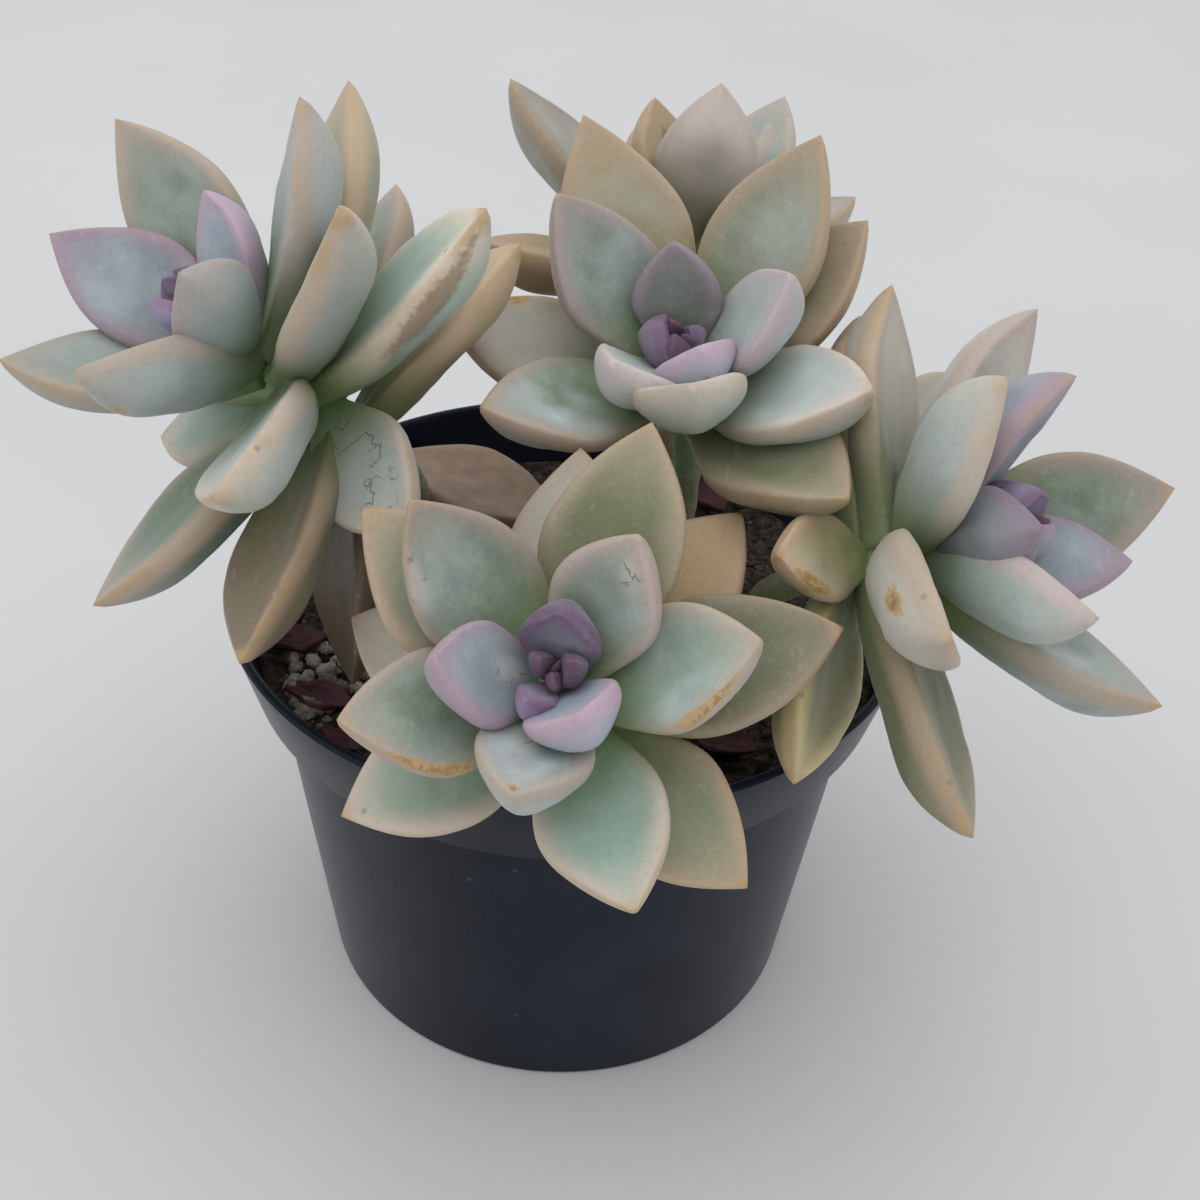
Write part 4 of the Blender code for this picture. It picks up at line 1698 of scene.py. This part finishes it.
ROSETTES = (
    Rosette(
        name="rosette_front",
        root=(0.002, -0.030), crown=(0.0, -0.0525, 0.0905), lean=34, heading=-99,
        spin=147, turn=-1, tilt=(19, 95), length=(0.0095, 0.0355), drop=0.00075,
        leaves=20, fallen=(13, 18),
        nudges={
            0: (13, 11, 0.0), 1: (-14, -4, -0.10), 2: (-15, -5, 0.0), 3: (7, 1, 0.0),
            4: (16, 0, 0.10), 5: (-2, -4, -0.05), 6: (8, 3, 0.20), 7: (21, -2, 0.05),
            8: (-14, -3, 0.0), 9: (0, -2, 0.20), 10: (-3, -2, -0.05), 11: (-17, -11, 0.05),
            12: (-3, 0, 0.05), 14: (-15, -7, -0.05), 15: (-9, 1, -0.15), 16: (16, 2, -0.15),
            17: (2, 2, 0.0), 19: (17, 7, -0.05),
        },
        looks={
            0: Look(Tone.MAUVE, 1.40, 0.1, 0.0),
            1: Look(Tone.MAUVE, 0.82, 0.2, 0.0),
            2: Look(Tone.LILAC, 1.20, 0.2, 0.1),
            3: Look(Tone.LILAC, 0.94, 0.3, 0.1, (Mark(Wear.CRACK, 0.40, 0.2, 0.15, 0.3),)),
            4: Look(
                Tone.SAGE, 1.00, 0.3, 0.2,
                (Mark(Wear.CRACK, 0.80, 0.3, 0.10, 0.35),),
                blush=0.25,
            ),
            5: Look(
                Tone.FROST, 0.85, 0.8, 0.1,
                (Mark(Wear.SCAB, 0.95, 0.2, 0.04, 0.5), Mark(Wear.CRACK, 0.55, 0.1, 0.10, 0.35),),
                blush=0.1,
            ),
            6: Look(Tone.SAGE, 0.63, 0.3, 0.5, (Mark(Wear.CRACK, 0.72, -0.8, 0.12, 0.2),)),
            7: Look(Tone.MINT, 0.90, 0.8, 0.3, (Mark(Wear.SCAB, 0.72, 0.95, 0.20, 0.16),)),
            8: Look(Tone.SAGE, 0.87, 0.3, 0.5, (Mark(Wear.SCAB, 0.62, -0.97, 0.28, 0.14),)),
            9: Look(Tone.MOSS, 0.94, 0.0, 0.6),
            10: Look(Tone.MINT, 1.02, 0.2, 0.5),
            11: Look(Tone.OLIVE, 0.94, 0.2, 0.5),
            12: Look(Tone.MOSS, 0.68, 0.0, 0.8),
            14: Look(Tone.BEIGE, 1.05, 0.1, 0.5),
            15: Look(Tone.OLIVE, 0.90, 0.0, 0.9),
            16: Look(Tone.SAGE, 1.24),
            17: Look(Tone.TAN, 1.25, 0.0, 0.9),
            19: Look(Tone.BEIGE, 1.20, 0.0, 0.8),
        },
    ),
    Rosette(
        name="rosette_centre",
        root=(0.015, 0.004), crown=(0.0135, -0.0030, 0.1055), lean=24, heading=-108,
        spin=325, turn=1, tilt=(18, 69), length=(0.0095, 0.0390), drop=0.00065,
        leaves=16, fallen=(12,),
        nudges={
            0: (-11, -3, -0.35), 1: (9, -13, -0.35), 2: (-19, 2, -0.05), 3: (1, -4, -0.10),
            4: (6, 1, -0.05), 5: (-3, -3, 0.0), 6: (-6, 0, 0.15), 7: (-2, -9, 0.0),
            8: (-8, 2, 0.25), 9: (12, 9, 0.0), 10: (-3, 1, 0.0), 11: (2, -4, 0.15),
            13: (8, -4, -0.10), 14: (3, 2, -0.10), 15: (8, -4, -0.05),
        },
        looks={
            0: Look(Tone.MAUVE, 1.0, 0.1, 0.0),
            1: Look(Tone.MAUVE, 1.05, 0.1, 0.0),
            2: Look(Tone.LILAC, 1.30, 0.3, 0.0),
            3: Look(Tone.SAGE, 0.64, 0.1, 0.0, blush=0.8),
            4: Look(Tone.FROST, 1.35, 0.2, 0.0, blush=0.4),
            5: Look(Tone.FROST, 1.12, 0.6, 0.0, blush=0.6),
            6: Look(Tone.SAGE, 0.82, 0.3, 0.2, blush=0.35),
            7: Look(Tone.FROST, 1.15, 0.3, 0.1),
            8: Look(Tone.OLIVE, 0.84),
            9: Look(Tone.SAGE, 1.00, 0.8, 0.4),
            10: Look(Tone.FROST, 1.28, 0.7, 0.4, blush=0.15),
            11: Look(Tone.STRAW, 0.86, 0.2, 0.6),
            13: Look(Tone.STRAW, 0.74, 0.1, 0.5),
            14: Look(Tone.BEIGE, 1.05, 0.1, 0.8, (Mark(Wear.SCAB, 0.80, 0.9, 0.14, 0.3),)),
            15: Look(Tone.MOSS, 0.89, 0.1, 0.5),
        },
    ),
    Rosette(
        name="rosette_right",
        root=(0.028, -0.012), crown=(0.0505, -0.0270, 0.0965), lean=61, heading=-13,
        spin=5, turn=1, tilt=(17, 75), length=(0.0105, 0.0400), drop=0.00085,
        leaves=20, fallen=(12, 17),
        nudges={
            0: (-1, 4, 0.0), 1: (-1, -18, -0.30), 2: (-12, -5, -0.35), 3: (6, 11, -0.05),
            4: (3, -7, 0.0), 5: (1, -6, 0.05), 6: (-7, -4, 0.0), 7: (-9, -13, 0.20),
            8: (-5, -2, 0.05), 9: (0, -9, 0.10), 10: (3, -6, 0.05), 11: (0, 5, 0.0),
            13: (-40, 9, -0.05), 14: (-4, 5, -0.05), 15: (8, 5, 0.0), 16: (2, 35, -0.55),
            18: (-15, 9, -0.10), 19: (20, 33, -0.25),
        },
        looks={
            0: Look(Tone.MAUVE, 1.3, 0.2, 0.0),
            1: Look(Tone.LILAC, 0.74, 0.1, 0.0),
            2: Look(Tone.MAUVE, 1.0, 0.2, 0.0),
            3: Look(Tone.LILAC, 0.60, 0.2, 0.0, blush=0.3),
            4: Look(Tone.LILAC, 0.76, 0.3, 0.1),
            5: Look(Tone.LILAC, 0.82, 0.3, 0.4),
            6: Look(Tone.MINT, 1.13, 0.3, 0.2, blush=0.45),
            7: Look(Tone.SAGE, 0.69),
            8: Look(Tone.FROST, 1.05, 0.3, 0.4, (Mark(Wear.SCAB, 0.94, 0.0, 0.03, 0.4),)),
            9: Look(Tone.FROST, 0.70, 0.4, 0.6),
            10: Look(Tone.BEIGE, 1.14, 0.3, 0.2, blush=0.2),
            11: Look(
                Tone.BEIGE, 1.10, 0.3, 0.3,
                (
                    Mark(Wear.SCAB, 0.77, 0.62, 0.07, 0.18, False),
                    Mark(Wear.BURN, 0.78, 0.6, 0.03, 0.1, False),
                ),
            ),
            13: Look(Tone.BEIGE, 1.00, 0.1, 1.0),
            14: Look(Tone.MOSS, 0.80, 0.0, 0.7),
            15: Look(Tone.BEIGE, 1.0),
            16: Look(Tone.STRAW, 1.25, 0.2, 1.0, (Mark(Wear.SCAB, 0.75, -0.8, 0.20, 0.3),)),
            18: Look(Tone.OLIVE, 1.0),
            19: Look(Tone.OCHRE, 0.98, 0.0, 0.6),
        },
    ),
    Rosette(
        name="rosette_left",
        root=(-0.027, 0.002), crown=(-0.0455, -0.0095, 0.1105), lean=46, heading=-169,
        spin=240, turn=-1, tilt=(17, 82), length=(0.0105, 0.0420), drop=0.00090,
        leaves=26, fallen=(3, 11, 20, 22, 23),
        nudges={
            0: (2, -1, -0.05), 1: (0, -10, -0.35), 2: (-25, 20, 0.25), 4: (2, 6, -0.15),
            5: (-19, 2, 0.15), 6: (-12, -11, 0.15), 7: (6, 4, 0.15), 8: (-46, -15, 0.05),
            9: (1, -18, 0.20), 10: (19, 0, 0.10), 12: (2, -7, 0.0), 13: (15, -5, -0.05),
            16: (-2, 1, -0.05), 17: (-2, 8, -0.05), 18: (-6, 27, -0.30),
            19: (-4, -1, -0.15), 21: (9, 8, -0.05), 24: (36, 43, -0.15), 25: (-39, 6, -0.20),
        },
        looks={
            0: Look(Tone.MAUVE, 1.5, 0.1, 0.0),
            1: Look(Tone.MAUVE, 1.0, 0.1, 0.0),
            2: Look(Tone.FROST, 0.78, 0.2, 0.0, blush=0.25),
            4: Look(Tone.LILAC, 1.15, 0.3, 0.0, blush=0.15),
            5: Look(
                Tone.FROST, 0.82, 0.3, 0.3,
                (Mark(Wear.SCAB, 0.82, 0.3, 0.05, 0.25, False),),
                blush=0.2,
            ),
            6: Look(Tone.LILAC, 0.80, 0.3, 0.3),
            7: Look(Tone.FROST, 0.90, 0.3, 0.5, blush=0.2),
            8: Look(Tone.FROST, 0.71, 0.3, 0.6),
            9: Look(Tone.SAGE, 0.91),
            10: Look(Tone.FROST, 0.90, 0.2, 0.9),
            12: Look(Tone.OLIVE, 1.10, 0.3, 0.4),
            13: Look(Tone.FROST, 1.10, 0.3, 0.6),
            15: Look(Tone.MINT, 1.45, 0.2, 0.8, (Mark(Wear.BURN, 0.72, 0.95, 0.26, 0.22, False),)),
            16: Look(Tone.SAGE, 0.91, 0.0, 0.9),
            17: Look(Tone.SAGE, 0.82, 0.2, 0.7),
            18: Look(Tone.FROST, 1.15, 0.2, 0.6, (Mark(Wear.CRACK, 0.55, 0.0, 0.4, 0.7),)),
            19: Look(Tone.MINT, 1.00),
            21: Look(Tone.STRAW, 0.42, 0.0, 1.0),
            24: Look(Tone.TAN, 0.24, 0.0, 0.4),
            25: Look(Tone.STRAW, 1.20, 0.1, 0.7),
        },
    ),
    Rosette(
        name="rosette_back",
        root=(0.014, 0.027), crown=(0.0160, 0.0370, 0.1090), lean=14, heading=71,
        spin=195, turn=1, tilt=(16, 77), length=(0.0105, 0.0380), drop=0.00070,
        leaves=16, fallen=(9, 12),
        nudges={
            4: (-6, -12, 0.15), 5: (-6, -2, 0.10), 6: (6, 3, -0.15), 7: (-6, 4, -0.10),
            8: (3, 2, 0.0), 10: (3, 7, -0.10), 11: (1, -10, 0.15), 14: (-10, 7, -0.10),
            15: (-6, -8, -0.35),
        },
        looks={
            1: Look(Tone.FROST, 0.80, 0.3, 0.0),
            2: Look(Tone.FROST, 0.85, 0.3, 0.0),
            3: Look(Tone.TAN, 1.00, 0.1, 0.3, (Mark(Wear.BURN, 0.72, 0.0, 0.08, 0.25),)),
            4: Look(Tone.BEIGE, 1.20, 0.1, 0.2, blush=0.2),
            5: Look(Tone.FROST, 0.87, 0.3, 0.0),
            6: Look(Tone.BEIGE),
            7: Look(Tone.BEIGE),
            8: Look(Tone.TAN, 1.0, 0.1, 0.5, (Mark(Wear.BURN, 0.75, 0.3, 0.05, 0.2, False),)),
            10: Look(Tone.BEIGE, 0.9),
            11: Look(Tone.BEIGE, 0.65, 0.2, 0.5),
            13: Look(Tone.OLIVE),
            14: Look(Tone.TAN, 1.02, 0.1, 0.7),
            15: Look(Tone.OLIVE),
        },
    ),
)

LOOSE_LEAVES = (
    LooseLeaf(
        "fallen_leaf", (-0.0020, 0.0190), (-0.0290, 0.0330), 0.0170, 0.0066, "faded_leaf", rise=7,
    ),
    LooseLeaf(
        "dry_leaf_left", (-0.0390, -0.0190), (-0.0290, -0.0225), 0.0055, 0.0016, "dry_leaf",
        curl=12,
    ),
    LooseLeaf(
        "dry_leaf_rim", (-0.0325, -0.0275), (-0.0270, -0.0320), 0.0032, 0.0014, "dry_leaf",
        curl=10,
    ),
    LooseLeaf(
        "dry_leaf_side", (-0.0425, -0.0100), (-0.0350, -0.0080), 0.0052, 0.0016, "dry_leaf",
        curl=12,
    ),
    LooseLeaf(
        "dry_leaf_back", (0.0190, 0.0390), (0.0240, 0.0300), 0.0055, 0.0016, "dry_leaf", curl=12,
    ),
    LooseLeaf(
        "dry_leaf_right", (0.0170, -0.0240), (0.0270, -0.0280), 0.0060, 0.0016, "dry_leaf",
        curl=12,
    ),
)

GRAIN_FINISHES = {
    Grain.PUMICE: Mineral("pumice", (0.480, 0.430, 0.380), (0.160, 0.135, 0.115)),
    Grain.BARK: Mineral("bark", (0.130, 0.085, 0.065), (0.035, 0.024, 0.019)),
    Grain.GRIT: Mineral("grit", (0.240, 0.190, 0.155), (0.030, 0.022, 0.019)),
}

LOOSE_FINISHES = (
    WitheredSkin("faded_leaf", (0.330, 0.235, 0.170), (0.255, 0.175, 0.130), 0.0003, 0.15),
    WitheredSkin("dry_leaf", (0.160, 0.055, 0.070), (0.045, 0.016, 0.022), 0.0006, 0.5),
)

LEAF_SEGMENTS, LEAF_RINGS = 44, 40


def main() -> None:
    """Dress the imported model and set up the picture."""
    logging.basicConfig(level=logging.INFO, format="%(message)s")
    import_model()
    Studio().build()
    Pot().build(PotPlastic().material())
    soil = SoilBed(SoilSizes(), [rosette.root for rosette in ROSETTES])
    soil.surface(CrumbEarth().material())
    for kind, finish in GRAIN_FINISHES.items():
        soil.grains(kind, finish.material())
    model = Workbench.ball("leaf_model", LEAF_SEGMENTS, LEAF_RINGS)
    skin, stem = LeafSkin().material(), StemSkin().material()
    for rosette in ROSETTES:
        rosette.build(model, skin, stem)
    loose_skins = {finish.name: finish.material() for finish in LOOSE_FINISHES}
    for loose in LOOSE_LEAVES:
        loose.build(model, loose_skins[loose.slot])
    bpy.data.objects.remove(model, do_unlink=True)


if __name__ == "__main__":
    main()
